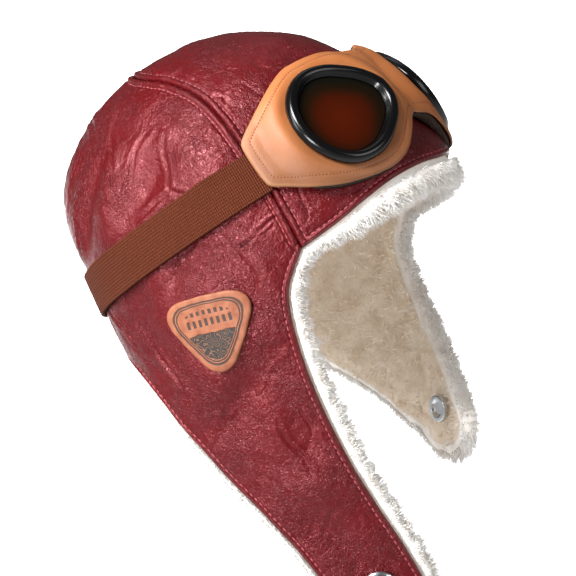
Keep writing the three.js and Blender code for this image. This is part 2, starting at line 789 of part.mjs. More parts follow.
// A snap half: a turned disc standing on the flap, outside or inside
function snapDisc(edges, hand, lift, facing, profile) {
  const sheet = new Sheet();
  const guide = place(hand * edges.snap[0], edges.snap[1]);
  const base = onLeather(guide, lift);
  const up = outward(ontoForm(guide)).multiplyScalar(facing);
  const side = new THREE.Vector3().crossVectors(new THREE.Vector3(0, 0, 1), up).normalize();
  const other = new THREE.Vector3().crossVectors(up, side);
  const sides = 14;
  const rings = profile.map(({ reach, height }) => Array.from({ length: sides }, (_, i) => {
    const angle = (2 * Math.PI * i) / sides;
    const p = base.clone().addScaledVector(up, height);
    return p.addScaledVector(side, reach * Math.cos(angle)).addScaledVector(other, reach * Math.sin(angle));
  }));
  sheet.strip(rings, true);
  return sheet.geometry();
}

const capProfile = [
  { reach: 0, height: 0 },
  { reach: snapRadius, height: 0 },
  { reach: snapRadius, height: capHeight * 0.4 },
  { reach: snapRadius * 0.8, height: capHeight * 0.9 },
  { reach: 0, height: capHeight },
];
const socketProfile = [
  { reach: 0, height: 0 },
  { reach: socketRadius, height: 0 },
  { reach: socketRadius, height: socketHeight },
  { reach: socketRadius * 0.45, height: socketHeight },
  { reach: socketRadius * 0.4, height: socketHeight * 0.4 },
  { reach: 0, height: socketHeight * 0.4 },
];
const capLift = fitGap + 0.1;
const socketLift = -shellWall - fitGap - 0.8;

// Materials
const leather = { color: 0x7a1423, roughness: 0.38, metalness: 0 };
const fleece = { color: 0xf1ede8, roughness: 1, metalness: 0 };
const tanLeather = { color: 0xcf8f58, roughness: 0.6, metalness: 0 };
const backing = { color: 0x33261f, roughness: 0.9, metalness: 0 };
const blackRim = { color: 0x0c0c0d, roughness: 0.22, metalness: 0 };
const amberLens = { color: 0x3a1408, roughness: 0.08, metalness: 0 };
const elastic = { color: 0x6d3d22, roughness: 0.85, metalness: 0 };
const steel = { color: 0xb9bcc0, roughness: 0.25, metalness: 1 };

const hat = new THREE.Group();
hat.position.z = -headRise;

function add(name, geometry, finish) {
  const mesh = new THREE.Mesh(geometry, new THREE.MeshStandardMaterial(finish));
  mesh.name = name;
  hat.add(mesh);
}

add('crown_front_panel', crownPanel(), leather);
add('side_panel_right', sidePanel(rightEdges, 1), leather);
add('side_panel_left', sidePanel(leftEdges, -1), leather);
add('fleece_lining', lining(), fleece);
const maskFaces = [{ lift: maskUnder, flat: true }, { lift: maskOver, flat: true }];
const paddingFaces = [{ lift: beddingGap, flat: false }, { lift: maskUnder - layerGap, flat: true }];
add('goggle_mask', goggleLayer(...maskFaces, 1), tanLeather);
add('mask_padding', goggleLayer(...paddingFaces, paddingEnd), backing);
add('lens_rim_right', rimRing(lensFrames.right), blackRim);
add('lens_rim_left', rimRing(lensFrames.left), blackRim);
add('lens_right', lensDisc(lensFrames.right), amberLens);
add('lens_left', lensDisc(lensFrames.left), amberLens);
add('goggle_strap', strapBand(), elastic);
add('flap_patch', patch(), tanLeather);
add('snap_cap_right', snapDisc(rightEdges, 1, capLift, 1, capProfile), steel);
add('snap_cap_left', snapDisc(leftEdges, -1, capLift, 1, capProfile), steel);
add('snap_socket_right', snapDisc(rightEdges, 1, socketLift, -1, socketProfile), steel);
add('snap_socket_left', snapDisc(leftEdges, -1, socketLift, -1, socketProfile), steel);

export default hat;
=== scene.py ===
# %% [markdown]
# # A lined leather winter hat with goggles
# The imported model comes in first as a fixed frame. Everything below dresses that frame: each
# soft solid is replaced by a finer piece that is made from the same form.

# %% Load the frame
import math

import bmesh
import bpy
import numpy as np
from mathutils import Matrix, Quaternion, Vector, kdtree, noise


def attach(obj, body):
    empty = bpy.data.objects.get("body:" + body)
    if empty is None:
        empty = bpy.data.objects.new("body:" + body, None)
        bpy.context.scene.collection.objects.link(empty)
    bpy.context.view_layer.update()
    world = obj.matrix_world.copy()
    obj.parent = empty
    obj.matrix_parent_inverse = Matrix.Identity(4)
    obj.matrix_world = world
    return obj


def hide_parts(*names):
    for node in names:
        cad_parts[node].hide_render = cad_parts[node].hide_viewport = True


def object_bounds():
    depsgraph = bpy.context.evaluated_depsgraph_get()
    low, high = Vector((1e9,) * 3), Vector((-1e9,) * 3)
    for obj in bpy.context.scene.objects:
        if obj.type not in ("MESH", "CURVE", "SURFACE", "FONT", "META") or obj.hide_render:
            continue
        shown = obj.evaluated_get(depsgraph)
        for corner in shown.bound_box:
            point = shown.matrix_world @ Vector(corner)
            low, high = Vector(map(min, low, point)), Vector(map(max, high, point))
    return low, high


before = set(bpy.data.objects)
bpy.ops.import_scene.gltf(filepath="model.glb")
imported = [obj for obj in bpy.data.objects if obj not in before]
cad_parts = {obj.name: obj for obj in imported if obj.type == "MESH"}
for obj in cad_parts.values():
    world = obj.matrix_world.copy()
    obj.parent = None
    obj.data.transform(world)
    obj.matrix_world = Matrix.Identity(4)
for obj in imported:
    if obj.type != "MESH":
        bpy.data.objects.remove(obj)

cad_box = [list(corner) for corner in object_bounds()]
print("nodes:", len(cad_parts), "box:", [round(v, 4) for v in cad_box[0] + cad_box[1]])

# %% [markdown]
# ## The stage: camera, light and floor
# A long lens keeps the hat's proportions. The camera looks from the wearer's right, a little
# above level, at a hat that hangs in the air as a head would hold it.

# %% Camera
HEAD_RISE = 95.5
CAMERA_TURN = math.radians(66)
CAMERA_CLIMB = math.radians(10.5)
CAMERA_DISTANCE = 1400
back = np.array([
    -math.sin(CAMERA_TURN) * math.cos(CAMERA_CLIMB),
    -math.cos(CAMERA_TURN) * math.cos(CAMERA_CLIMB),
    math.sin(CAMERA_CLIMB),
])
right = np.array([math.cos(CAMERA_TURN), -math.sin(CAMERA_TURN), 0])
above = np.cross(back, right)
aim = 10.7 * right - 24 * above + np.array([0, 0, -HEAD_RISE])
eye = aim + CAMERA_DISTANCE * back

camera_data = bpy.data.cameras.new("camera")
camera_data.lens = 175
camera_data.sensor_width = 36
camera_data.clip_end = 20
camera = bpy.data.objects.new("camera", camera_data)
bpy.context.scene.collection.objects.link(camera)
turn = Matrix(((right[0], above[0], back[0]), (right[1], above[1], back[1]), (right[2], above[2], back[2])))
camera.matrix_world = Matrix.Translation(Vector(eye / 1000)) @ turn.to_4x4()
bpy.context.scene.camera = camera
print("camera at", [round(v / 1000, 3) for v in eye])

# %% [markdown]
# One function turns the sRGB hex colours that a maker would read off a swatch to the linear
# values that the shader wants, and one adds a node with its settings and links.

# %% Colour and node helpers
def linear(swatch):
    parts = [int(swatch[i:i + 2], 16) / 255 for i in (1, 3, 5)]
    return tuple(c / 12.92 if c <= 0.04045 else ((c + 0.055) / 1.055) ** 2.4 for c in parts) + (1.0,)


def add_node(tree, kind, inputs=None, **settings):
    node = tree.nodes.new(kind)
    for name, value in settings.items():
        setattr(node, name, value)
    for name, value in (inputs or {}).items():
        if isinstance(value, bpy.types.NodeSocket):
            tree.links.new(value, node.inputs[name])
        else:
            node.inputs[name].default_value = value
    return node


def figure(tree, operation, *values):
    """The result of one Math node."""
    return add_node(tree, "ShaderNodeMath", dict(enumerate(values)), operation=operation).outputs[0]


def mapped(tree, value, low, high, to_low=0.0, to_high=1.0, curve="LINEAR"):
    """A value taken from one range to another."""
    return add_node(tree, "ShaderNodeMapRange", {
        "Value": value, "From Min": low, "From Max": high, "To Min": to_low, "To Max": to_high,
    }, interpolation_type=curve).outputs[0]


def new_material(name):
    material = bpy.data.materials.new(name)
    material.use_nodes = True
    material.node_tree.nodes.clear()
    return material, material.node_tree


def finish_material(tree, shader):
    add_node(tree, "ShaderNodeOutputMaterial", {"Surface": shader.outputs[0]})


def set_ramp(node, stops):
    ramp = node.color_ramp
    while len(ramp.elements) < len(stops):
        ramp.elements.new(0.5)
    for element, (position, colour) in zip(ramp.elements, stops):
        element.position = position
        element.color = colour
    return node


def blend_colour(tree, share, low, high):
    """A colour between two, by a share that may come from a pattern."""
    node = tree.nodes.new("ShaderNodeMix")
    node.data_type = "RGBA"
    for name, value in (("Factor_Float", share), ("A_Color", low), ("B_Color", high)):
        socket = next(s for s in node.inputs if s.identifier == name)
        if isinstance(value, bpy.types.NodeSocket):
            tree.links.new(value, socket)
        else:
            socket.default_value = value
    return next(s for s in node.outputs if s.identifier == "Result_Color")


# %% [markdown]
# The floor is a wide pale sheet 40 cm below the hat, low enough to leave no grey veil on the
# gloss. A narrow soft key stands above and to the left of the camera. Two small lights lower down
# pick out the side, a broad one fills from the right, and the sky is dim. A tall bright panel
# far behind the hat gives the white ground of a studio picture.

# %% Floor, sky and lights
FLOOR_DROP = 0.4
floor_level = cad_box[0][2] - FLOOR_DROP
bpy.ops.mesh.primitive_plane_add(size=24, location=(0, 0, floor_level))
floor = bpy.context.active_object
floor.name = "floor"
floor_material, tree = new_material("pale_studio_floor")
finish_material(tree, add_node(tree, "ShaderNodeBsdfPrincipled", {
    "Base Color": linear("#f4f4f4"), "Roughness": 0.9,
    "Emission Color": linear("#ffffff"), "Emission Strength": 0.3,
}))
floor.data.materials.append(floor_material)

world = bpy.data.worlds.new("studio_sky")
bpy.context.scene.world = world
world.use_nodes = True
world.node_tree.nodes["Background"].inputs["Color"].default_value = linear("#ffffff")
world.node_tree.nodes["Background"].inputs["Strength"].default_value = 0.12
bpy.context.scene.view_settings.view_transform = "Standard"


def softbox(name, turn_deg, climb_deg, distance, size, power, spread_deg=180):
    turn_by, climb = math.radians(turn_deg), math.radians(climb_deg)
    middle = Vector((0, 0, -0.1))
    place = middle + distance * Vector((
        -math.sin(turn_by) * math.cos(climb), -math.cos(turn_by) * math.cos(climb), math.sin(climb),
    ))
    lamp = bpy.data.lights.new(name, "AREA")
    lamp.shape = "RECTANGLE"
    lamp.size, lamp.size_y = size
    lamp.energy = power
    lamp.spread = math.radians(spread_deg)
    holder = bpy.data.objects.new(name, lamp)
    holder.location = place
    holder.rotation_mode = "QUATERNION"
    holder.rotation_quaternion = (place - middle).to_track_quat("Z", "Y")
    bpy.context.scene.collection.objects.link(holder)
    return holder


softbox("key_light", 118, 42, 1.25, (0.5, 0.5), 6.8, 80)
softbox("fill_light", 12, 24, 1.6, (0.9, 0.9), 8.5)
softbox("back_light", 235, 60, 1.5, (0.7, 0.7), 1)
softbox("side_light", 138, 12, 1.5, (0.5, 0.8), 2.0, 80)
softbox("low_light", 100, -2, 1.4, (0.4, 0.4), 3.2, 80)
backdrop_light = softbox("backdrop_light", 246, 0, 5.2, (3.4, 7.4), 250, 80)
backdrop_light.location.z = floor_level + 1.8
backdrop_light.rotation_quaternion = Quaternion((0, 0, 1), -CAMERA_TURN)
print("floor at", round(floor_level, 4))

# %% [markdown]
# ## The form that every piece follows
# A hat like this is drafted over a head block. The block here is a set of level sections,
# rounded over at the top, with the same sizes as the solids: half width, half depth, rise.
# Millimetres are used while shaping, from the centre of the crown's widest level.

# %% The block: named sizes and level sections
SHELL_WALL = 9.0
LEATHER_WALL = 1.7
FLEECE_WALL = 7.0
LINER_GAP = 0.3
HALF_WIDTH = 72 + SHELL_WALL
HALF_DEPTH = 99 + SHELL_WALL
RISE = HEAD_RISE + SHELL_WALL
DROP = {1: 176.0, -1: 107.0}
HANDS = {"right": 1, "left": -1}
MM_PER_DEGREE = HALF_DEPTH * 0.9 * math.pi / 180

# down as a share of the right flap's drop; side, front and back as shares; brow and rear power
SECTIONS = np.array([
    (-0.55, 1, 0.89, 1, 1.74, 2), (-0.4, 1, 0.89, 1, 1.74, 2), (-0.3, 1, 0.98, 1.01, 1.74, 2),
    (-0.22, 1, 1, 1.022, 1.87, 2), (-0.13, 1, 1, 1.01, 1.98, 2), (0, 1, 1, 0.935, 2, 2),
    (0.1, 0.995, 1, 0.84, 2.03, 2.03), (0.2, 0.985, 1.005, 0.74, 2.06, 2.06),
    (0.34, 0.95, 1.02, 0.59, 2.1, 2.1), (0.51, 0.895, 1.035, 0.43, 2.15, 2.15),
    (0.68, 0.85, 1.075, 0.39, 2.2, 2.2), (0.91, 0.815, 1.13, 0.38, 2.2, 2.2),
    (1.2, 0.8, 1.175, 0.38, 2.2, 2.2),
])


def read_table(keys, values, at):
    """A smooth value between table rows, by cubic pieces."""
    last = len(keys) - 1
    x = np.clip(at, keys[0], keys[-1])
    i = np.searchsorted(keys[1:-1], x, side="left")
    before, after = np.maximum(np.arange(last + 1) - 1, 0), np.minimum(np.arange(last + 1) + 1, last)
    slope = (values[after] - values[before]) / (keys[after] - keys[before])
    step = keys[i + 1] - keys[i]
    t = (x - keys[i]) / step
    hold = values[i] * (1 + 2 * t) * (1 - t) ** 2 + values[i + 1] * t * t * (3 - 2 * t)
    return hold + step * (slope[i] * t * (1 - t) ** 2 - slope[i + 1] * t * t * (1 - t))


def outness(p):
    """1 on the plain form, more outside it."""
    down = -p[..., 2] / DROP[1]
    columns = (read_table(SECTIONS[:, 0], SECTIONS[:, k], down) for k in range(1, 6))
    side, front, back_share, brow, rear = columns
    depth = HALF_DEPTH * np.where(p[..., 1] < 0, front, back_share)
    power = np.where(p[..., 1] < 0, brow, rear)
    level = np.abs(p[..., 0] / (HALF_WIDTH * side)) ** power + np.abs(p[..., 1] / depth) ** power
    return np.hypot(level ** (1 / power), np.maximum(p[..., 2], 0) / RISE)


def onto_form(guide):
    p = np.array(guide, float)
    rising = guide[..., 2] > 0
    for _ in range(8):
        scale = 1 / outness(p)
        p[..., 0] *= scale
        p[..., 1] *= scale
        p[..., 2] = np.where(rising, p[..., 2] * scale, p[..., 2])
    return p


def unit(v):
    return v / np.maximum(np.linalg.norm(v, axis=-1, keepdims=True), 1e-9)


def outward(p):
    slopes = []
    for axis in range(3):
        step = np.zeros(3)
        step[axis] = 0.5
        slopes.append(outness(p + step) - outness(p - step))
    return unit(np.stack(slopes, -1))


def place(turn_deg, height):
    """The point of the form so many degrees round from the brow and so high."""
    turn_deg, height = np.broadcast_arrays(np.asarray(turn_deg, float), np.asarray(height, float))
    angle = np.radians(turn_deg)
    guide = np.stack([-np.sin(angle), -np.cos(angle), height], -1)
    level = np.maximum(height, 0) / RISE
    reach = np.sqrt(outness(guide) ** 2 - level ** 2)
    ring = np.sqrt(np.maximum(1 - level ** 2, 0.0001)) / reach
    return np.stack([guide[..., 0] * ring, guide[..., 1] * ring, height], -1)


print("half width, half depth, rise:", HALF_WIDTH, HALF_DEPTH, RISE)

# %% [markdown]
# The large folds are soft dents and puffs at known places. Each row gives a place on the
# hat, how far it runs and reaches, its lean, and how deep it is. The solids have them too.

# %% Large folds
# turn, up, run, reach, lean, lift: up is a share of the rise, or of the flap's drop below it
FOLDS = [
    (139, 0.19, 0.26, 0.06, 100, -0.031), (128, 0.25, 0.3, 0.12, 95, 0.028),
    (114, 0.33, 0.28, 0.11, 120, -0.053), (101, 0.52, 0.2, 0.15, 30, 0.031),
    (89, 0.42, 0.17, 0.11, 130, 0.022), (150, 0.6, 0.4, 0.22, 10, 0.022),
    (97, -0.02, 0.2, 0.06, 110, -0.025), (68, 0.03, 0.2, 0.09, 60, 0.019),
    (74, -0.36, 0.34, 0.12, 125, -0.031), (84, -0.32, 0.3, 0.14, 120, 0.025),
    (55, -0.43, 0.22, 0.09, 60, -0.022), (47, -0.6, 0.3, 0.14, 130, 0.022),
    (44, -0.74, 0.25, 0.1, 40, -0.022), (112, -0.2, 0.3, 0.13, 60, -0.031),
    (-142, 0.25, 0.3, 0.1, 80, -0.034), (-112, 0.36, 0.28, 0.12, 60, -0.046),
    (-94, 0.5, 0.22, 0.15, 150, 0.031), (-92, -0.05, 0.25, 0.08, 75, -0.028),
    (-78, -0.3, 0.3, 0.13, 60, -0.031), (-120, -0.22, 0.28, 0.12, 120, -0.028),
    (172, -0.12, 0.3, 0.13, 70, -0.021), (-165, 0.1, 0.24, 0.08, 110, -0.025),
]


def fold_shape(p, rows, sharp=False):
    """The sum of soft dents, or of creases with a sharp bottom and raised shoulders."""
    turn_deg = np.degrees(np.arctan2(-p[..., 0], -p[..., 1]))
    total = np.zeros(p.shape[:-1])
    for turn_at, up, run, reach, lean_deg, lift in rows:
        height = up * (RISE if up > 0 else DROP[1])
        away = (turn_deg - turn_at + 180) % 360 - 180
        round_mm = np.radians(away) * np.hypot(p[..., 0], p[..., 1])
        lean = math.radians(lean_deg)
        climb = p[..., 2] - height
        along = round_mm * math.cos(lean) + climb * math.sin(lean)
        across = climb * math.cos(lean) - round_mm * math.sin(lean)
        run_mm, reach_mm = run * HALF_WIDTH, reach * HALF_WIDTH
        if sharp:
            across = across + 0.12 * run_mm * np.sin(along / run_mm * 2.4)
            t = np.abs(across) / reach_mm
            cut = np.exp(-1.6 * t) - 0.75 * np.exp(-((t - 1.5) / 0.9) ** 2)
            total += lift * HALF_WIDTH * cut * np.exp(-(along / run_mm) ** 2)
        else:
            total += lift * HALF_WIDTH * np.exp(-(along / run_mm) ** 2 - (across / reach_mm) ** 2)
    return total


def fold_lift(p):
    return fold_shape(p, FOLDS)


def on_leather(guide, lift):
    p = onto_form(guide)
    return p + outward(p) * (fold_lift(p) + lift)[..., None]


print("folds:", len(FOLDS))

# %% [markdown]
# Seams and edges are drawn in a flat chart of the hat, degrees round and millimetres up, as
# a pattern cutter draws them, and then taken onto the form.

# %% Seams, edges and the grids between them
SEAM_HEIGHT, TEMPLE_HEIGHT, BROW_HEIGHT, NAPE_DROP = 80.0, 10.3, 48.5, 56.0
FLAP_TIP_RADIUS, SNAP_TURN = 19.0, 31.6
SEAM_ROWS = [(54.6, 0), (60.2, 0.235), (67.1, 0.46), (77.4, 0.69), (86.7, 0.835), (100.5, 0.95),
             (124.2, 1.02), (152, 1.015), (180, 1)]
BROW_ROWS = [(0, 1), (11.4, 0.965), (23.7, 0.82), (33.8, 0.6), (44.7, 0.285), (54.6, 0)]
FLAP_FRONT_ROWS = [(57.3, 0.005), (58.6, 0.054), (58.3, 0.103), (56.1, 0.191), (52, 0.297),
                   (46.5, 0.41), (39.8, 0.53), (31.8, 0.667), (25.7, 0.774)]
FLAP_REAR_ROWS = [(49.5, 0.775), (57, 0.667), (68, 0.542), (80.5, 0.421), (92, 0.3), (103, 0.192),
                  (111, 0.121), (119, 0.065), (128, 0.021), (145, 0.003), (180, 0)]
TIP_ARC = (175, 85, 40, 9)


def smooth_curve(points, samples=1600):
    """A centripetal curve through points, read by its share of length."""
    pts = np.array(points, float)
    pts = np.vstack([2 * pts[0] - pts[1], pts, 2 * pts[-1] - pts[-2]])
    count = len(pts) - 3
    t = np.linspace(0, count, samples + 1)
    i = np.minimum(t.astype(int), count - 1)
    w = (t - i)[:, None]
    a, b, c, d = (pts[i + k] for k in range(4))
    gap = [np.maximum(np.linalg.norm(q - p, axis=1, keepdims=True) ** 0.5, 1e-4)
           for p, q in ((a, b), (b, c), (c, d))]
    one = ((b - a) / gap[0] - (c - a) / (gap[0] + gap[1]) + (c - b) / gap[1]) * gap[1]
    two = ((c - b) / gap[1] - (d - b) / (gap[1] + gap[2]) + (d - c) / gap[2]) * gap[1]
    line = b + one * w + (-3 * b + 3 * c - 2 * one - two) * w ** 2 + (2 * b - 2 * c + one + two) * w ** 3
    run = np.concatenate([[0], np.cumsum(np.linalg.norm(np.diff(line, axis=0), axis=1))])
    run /= run[-1]

    def at(share):
        share = np.clip(share, 0, 1)
        return np.stack([np.interp(share, run, line[:, k]) for k in range(line.shape[1])], -1)
    return at


def chart_curve(rows):
    curve = smooth_curve([(turn_at * MM_PER_DEGREE, height) for turn_at, height in rows])
    return lambda share: curve(share) / np.array([MM_PER_DEGREE, 1])


seam_curve = chart_curve([(t, TEMPLE_HEIGHT + h * (SEAM_HEIGHT - TEMPLE_HEIGHT)) for t, h in SEAM_ROWS])
brow_curve = chart_curve([(t, TEMPLE_HEIGHT + h * (BROW_HEIGHT - TEMPLE_HEIGHT)) for t, h in BROW_ROWS])


def flap_edges(drop):
    snap_height = FLAP_TIP_RADIUS - drop
    start, bottom_at, end, steps = TIP_ARC
    arc = []
    for i in range(steps + 1):
        angle = math.radians(start + (end - start) * i / steps)
        arc.append((SNAP_TURN + FLAP_TIP_RADIUS * math.cos(angle) / MM_PER_DEGREE,
                    snap_height - FLAP_TIP_RADIUS * math.sin(angle)))
    bottom = round(steps * (start - bottom_at) / (start - end))
    front = [(SEAM_ROWS[0][0], TEMPLE_HEIGHT)] + [(t, -d * drop) for t, d in FLAP_FRONT_ROWS]
    rear = [(t, -NAPE_DROP - d * (drop - NAPE_DROP)) for t, d in FLAP_REAR_ROWS]
    return {"front": chart_curve(front + arc[:bottom + 1]), "rear": chart_curve(arc[bottom:] + rear),
            "snap": (SNAP_TURN, snap_height)}


EDGES = {1: flap_edges(DROP[1]), -1: flap_edges(DROP[-1])}


def crowd_ends(count, crowding):
    """Shares from 0 to 1 that lie closer together near both ends."""
    s = np.linspace(0, 1, count + 1)
    return s - crowding * np.sin(2 * math.pi * s) / (2 * math.pi)


def side_grid(hand, us, vs):
    """Guide points from the front edge (u 0) to the back seam, and from the cross seam (v 0) down."""
    edges = EDGES[hand]
    top, low = seam_curve(us), edges["rear"](us)
    fore = edges["front"](vs)
    aft = np.stack([np.full(len(vs), 180.0), SEAM_HEIGHT + (-NAPE_DROP - SEAM_HEIGHT) * vs], -1)
    u, v = us[None, :, None], vs[:, None, None]
    mix = (1 - v) * top[None] + v * low[None] + (1 - u) * fore[:, None] + u * aft[:, None]
    mix = mix - (1 - u) * ((1 - v) * seam_curve(0.0) + v * edges["front"](1.0))
    mix = mix - u * ((1 - v) * aft[0] + v * aft[-1])
    return place(hand * mix[..., 0], mix[..., 1])


def crown_grid(us, vs):
    """Guide points from the right temple (u 0) to the left, and from the brow edge (v 0) back."""
    hand = np.where(us < 0.5, 1, -1)
    share = 1 - np.abs(2 * us - 1)
    brow, seam = brow_curve(1 - share), seam_curve(share)
    fore = place(hand * brow[:, 0], brow[:, 1])
    aft = place(hand * seam[:, 0], seam[:, 1])
    a, b = unit(fore), unit(aft)
    angle = np.arccos(np.clip((a * b).sum(-1), -1, 1))[None, :, None]
    v = vs[:, None, None]
    mix = a[None] * np.sin((1 - v) * angle) + b[None] * np.sin(v * angle)
    mix = np.where(angle > 0.001, mix, a[None])
    return onto_form(mix * 50)


print("seam from", seam_curve(0.0).round(1), "to", seam_curve(1.0).round(1))

# %% [markdown]
# Meshes come from grids of points. Points that fall together are merged, and the normals are
# made to face out, after which a modifier can give the sheet its wall.

# %% Mesh helpers
def to_row(p):
    """From the block's millimetres to the row frame's metres."""
    return (np.asarray(p) - np.array([0, 0, HEAD_RISE])) / 1000


def mesh_piece(name, points, faces, material, merge=2e-6):
    mesh = bpy.data.meshes.new(name)
    mesh.from_pydata([tuple(p) for p in points], [], [tuple(int(i) for i in f) for f in faces])
    if merge:
        shape = bmesh.new()
        shape.from_mesh(mesh)
        bmesh.ops.remove_doubles(shape, verts=shape.verts, dist=merge)
        bmesh.ops.dissolve_degenerate(shape, dist=merge, edges=shape.edges)
        shape.to_mesh(mesh)
        shape.free()
    mesh.materials.append(material)
    mesh.polygons.foreach_set("use_smooth", [True] * len(mesh.polygons))
    piece = bpy.data.objects.new(name, mesh)
    bpy.context.scene.collection.objects.link(piece)
    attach(piece, "root")
    return piece


def grid_faces(rows, columns, closed=False, start=0):
    j, i = np.meshgrid(np.arange(rows - 1), np.arange(columns if closed else columns - 1), indexing="ij")
    a, b = j * columns + i, j * columns + (i + 1) % columns
    return np.stack([a, b, b + columns, a + columns], -1).reshape(-1, 4) + start


def select_only(piece):
    bpy.ops.object.select_all(action="DESELECT")
    piece.select_set(True)
    bpy.context.view_layer.objects.active = piece


def face_out(piece):
    """Turns a closed mesh whose volume comes out negative."""
    mesh = piece.data
    mesh.calc_loop_triangles()
    corners = np.zeros(len(mesh.vertices) * 3)
    mesh.vertices.foreach_get("co", corners)
    corners = corners.reshape(-1, 3)
    tris = np.zeros(len(mesh.loop_triangles) * 3, int)
    mesh.loop_triangles.foreach_get("vertices", tris)
    a, b, c = (corners[tris.reshape(-1, 3)[:, k]] for k in range(3))
    if (a * np.cross(b, c)).sum() < 0:
        mesh.flip_normals()
    return piece


def lay_uv(piece, name, u, v):
    """A UV map from a pair of values at every vertex."""
    corners = np.zeros(len(piece.data.loops), int)
    piece.data.loops.foreach_get("vertex_index", corners)
    layer = piece.data.uv_layers.new(name=name)
    layer.data.foreach_set("uv", np.stack([u[corners], v[corners]], -1).reshape(-1))


def triangles(piece):
    piece.data.calc_loop_triangles()
    return len(piece.data.loop_triangles)


# %% [markdown]
# ## The leather
# The shell is faux leather: a knit backing with a glossy coat, which crumples into a net of
# fine creases between soft puffs. Large dents, seams and stitched hems are real geometry,
# made by moving the points of a fine grid. The finest cracks are left to the material.

# %% Distances to the seams and to the open edge
def seam_line(hand, samples=420):
    chart = seam_curve(np.linspace(0, 1, samples))
    return place(hand * chart[:, 0], chart[:, 1])


back_seam_line = place(np.full(240, 180.0), np.linspace(SEAM_HEIGHT, -NAPE_DROP, 240))


def edge_line(hand, samples=700):
    front = EDGES[hand]["front"](np.linspace(0, 1, samples))
    rear = EDGES[hand]["rear"](np.linspace(0, 1, samples))
    return np.vstack([place(hand * front[:, 0], front[:, 1]), place(hand * rear[1:, 0], rear[1:, 1])])


def brow_line(samples=500):
    share = np.linspace(-1, 1, samples)
    chart = brow_curve(np.abs(share))
    return place(-np.sign(share) * chart[:, 0], chart[:, 1])


def tree_of(points):
    found = kdtree.KDTree(len(points))
    for i, p in enumerate(points):
        found.insert(p, i)
    found.balance()
    return found


def distance_to(tree_found, p):
    flat = p.reshape(-1, 3)
    out = np.array([tree_found.find(q)[2] for q in flat])
    return out.reshape(p.shape[:-1])


def noise_at(p, scale, seed):
    flat = p.reshape(-1, 3) / scale + seed
    return np.array([noise.noise(Vector(q)) for q in flat]).reshape(p.shape[:-1])


SEAM_TREE = tree_of(np.vstack([seam_line(1), seam_line(-1), back_seam_line]))
EDGE_TREE = tree_of(np.vstack([edge_line(1), edge_line(-1), brow_line()]))
print("seams and edges measured")

# %% [markdown]
# Between the puffs the coat breaks into sharper creases, and it is drawn down at each seam. Both
# are added to the form's height: tables place the large creases, noise wanders the small ones,
# and the distance to a seam or to the edge gives its valley, its ridge and its pucker.

# %% Creases and hems
# turn, up, run, reach, lean, lift of the sharper creases between the puffs
CREASES = [
    (109, 0.25, 0.13, 0.02, 150, -0.02), (96, 0.31, 0.13, 0.018, 25, -0.016),
    (84, 0.33, 0.1, 0.016, 110, -0.013), (106, 0.44, 0.16, 0.018, 75, -0.012),
    (121, 0.42, 0.18, 0.02, 100, -0.012), (92, 0.56, 0.12, 0.014, 140, -0.01),
    (72, 0.12, 0.1, 0.013, 160, -0.015), (66, 0.2, 0.09, 0.012, 150, -0.013),
    (98, 0.02, 0.08, 0.016, 95, -0.02), (104, 0.05, 0.1, 0.014, 80, -0.014),
    (88, 0.14, 0.14, 0.016, 35, -0.01), (146, 0.1, 0.2, 0.02, 105, -0.018),
    (152, 0.33, 0.2, 0.02, 95, -0.014), (134, 0.48, 0.2, 0.018, 60, -0.01),
    (66, -0.33, 0.18, 0.016, 130, -0.012), (56, -0.5, 0.16, 0.016, 60, -0.012),
    (82, -0.44, 0.16, 0.016, 120, -0.01), (104, -0.3, 0.18, 0.018, 55, -0.014),
    (130, -0.2, 0.2, 0.018, 40, -0.014), (46, -0.72, 0.14, 0.014, 120, -0.01),
    (160, 0.55, 0.2, 0.02, 20, -0.012), (-110, 0.28, 0.14, 0.02, 150, -0.02),
    (-96, 0.36, 0.13, 0.018, 30, -0.016), (-84, 0.3, 0.1, 0.016, 110, -0.014),
    (-124, 0.44, 0.18, 0.02, 80, -0.014), (-98, 0.0, 0.1, 0.016, 90, -0.018),
    (-72, 0.1, 0.1, 0.014, 155, -0.014), (-146, 0.12, 0.2, 0.02, 105, -0.016),
    (-70, -0.2, 0.16, 0.016, 60, -0.012), (-112, -0.28, 0.18, 0.018, 120, -0.014),
    (-50, -0.36, 0.14, 0.014, 50, -0.012), (-160, -0.25, 0.2, 0.018, 60, -0.014),
]
STITCH_IN = 4.0
HEM_IN = 2.9
DEEPEST_CREASE = -1.8


def crumple(p):
    """Soft unevenness, with wandering creases where slow noise crosses zero."""
    total = 0.95 * noise_at(p, 26, 3.1) + 0.42 * noise_at(p, 11, 7.7)
    warp = np.stack([noise_at(p, 17, 11.0 + k) for k in range(3)], -1) * 6
    for size, seed, depth, width in ((21, 1.3, 0.65, 0.06), (12, 5.2, 0.38, 0.08), (7, 9.4, 0.2, 0.1)):
        value = noise_at(p + warp, size, seed)
        patchy = np.clip(0.45 + 1.6 * noise_at(p, 34, seed + 2), 0, 1)
        total -= depth * np.exp(-(value / width) ** 2) * patchy
    return total


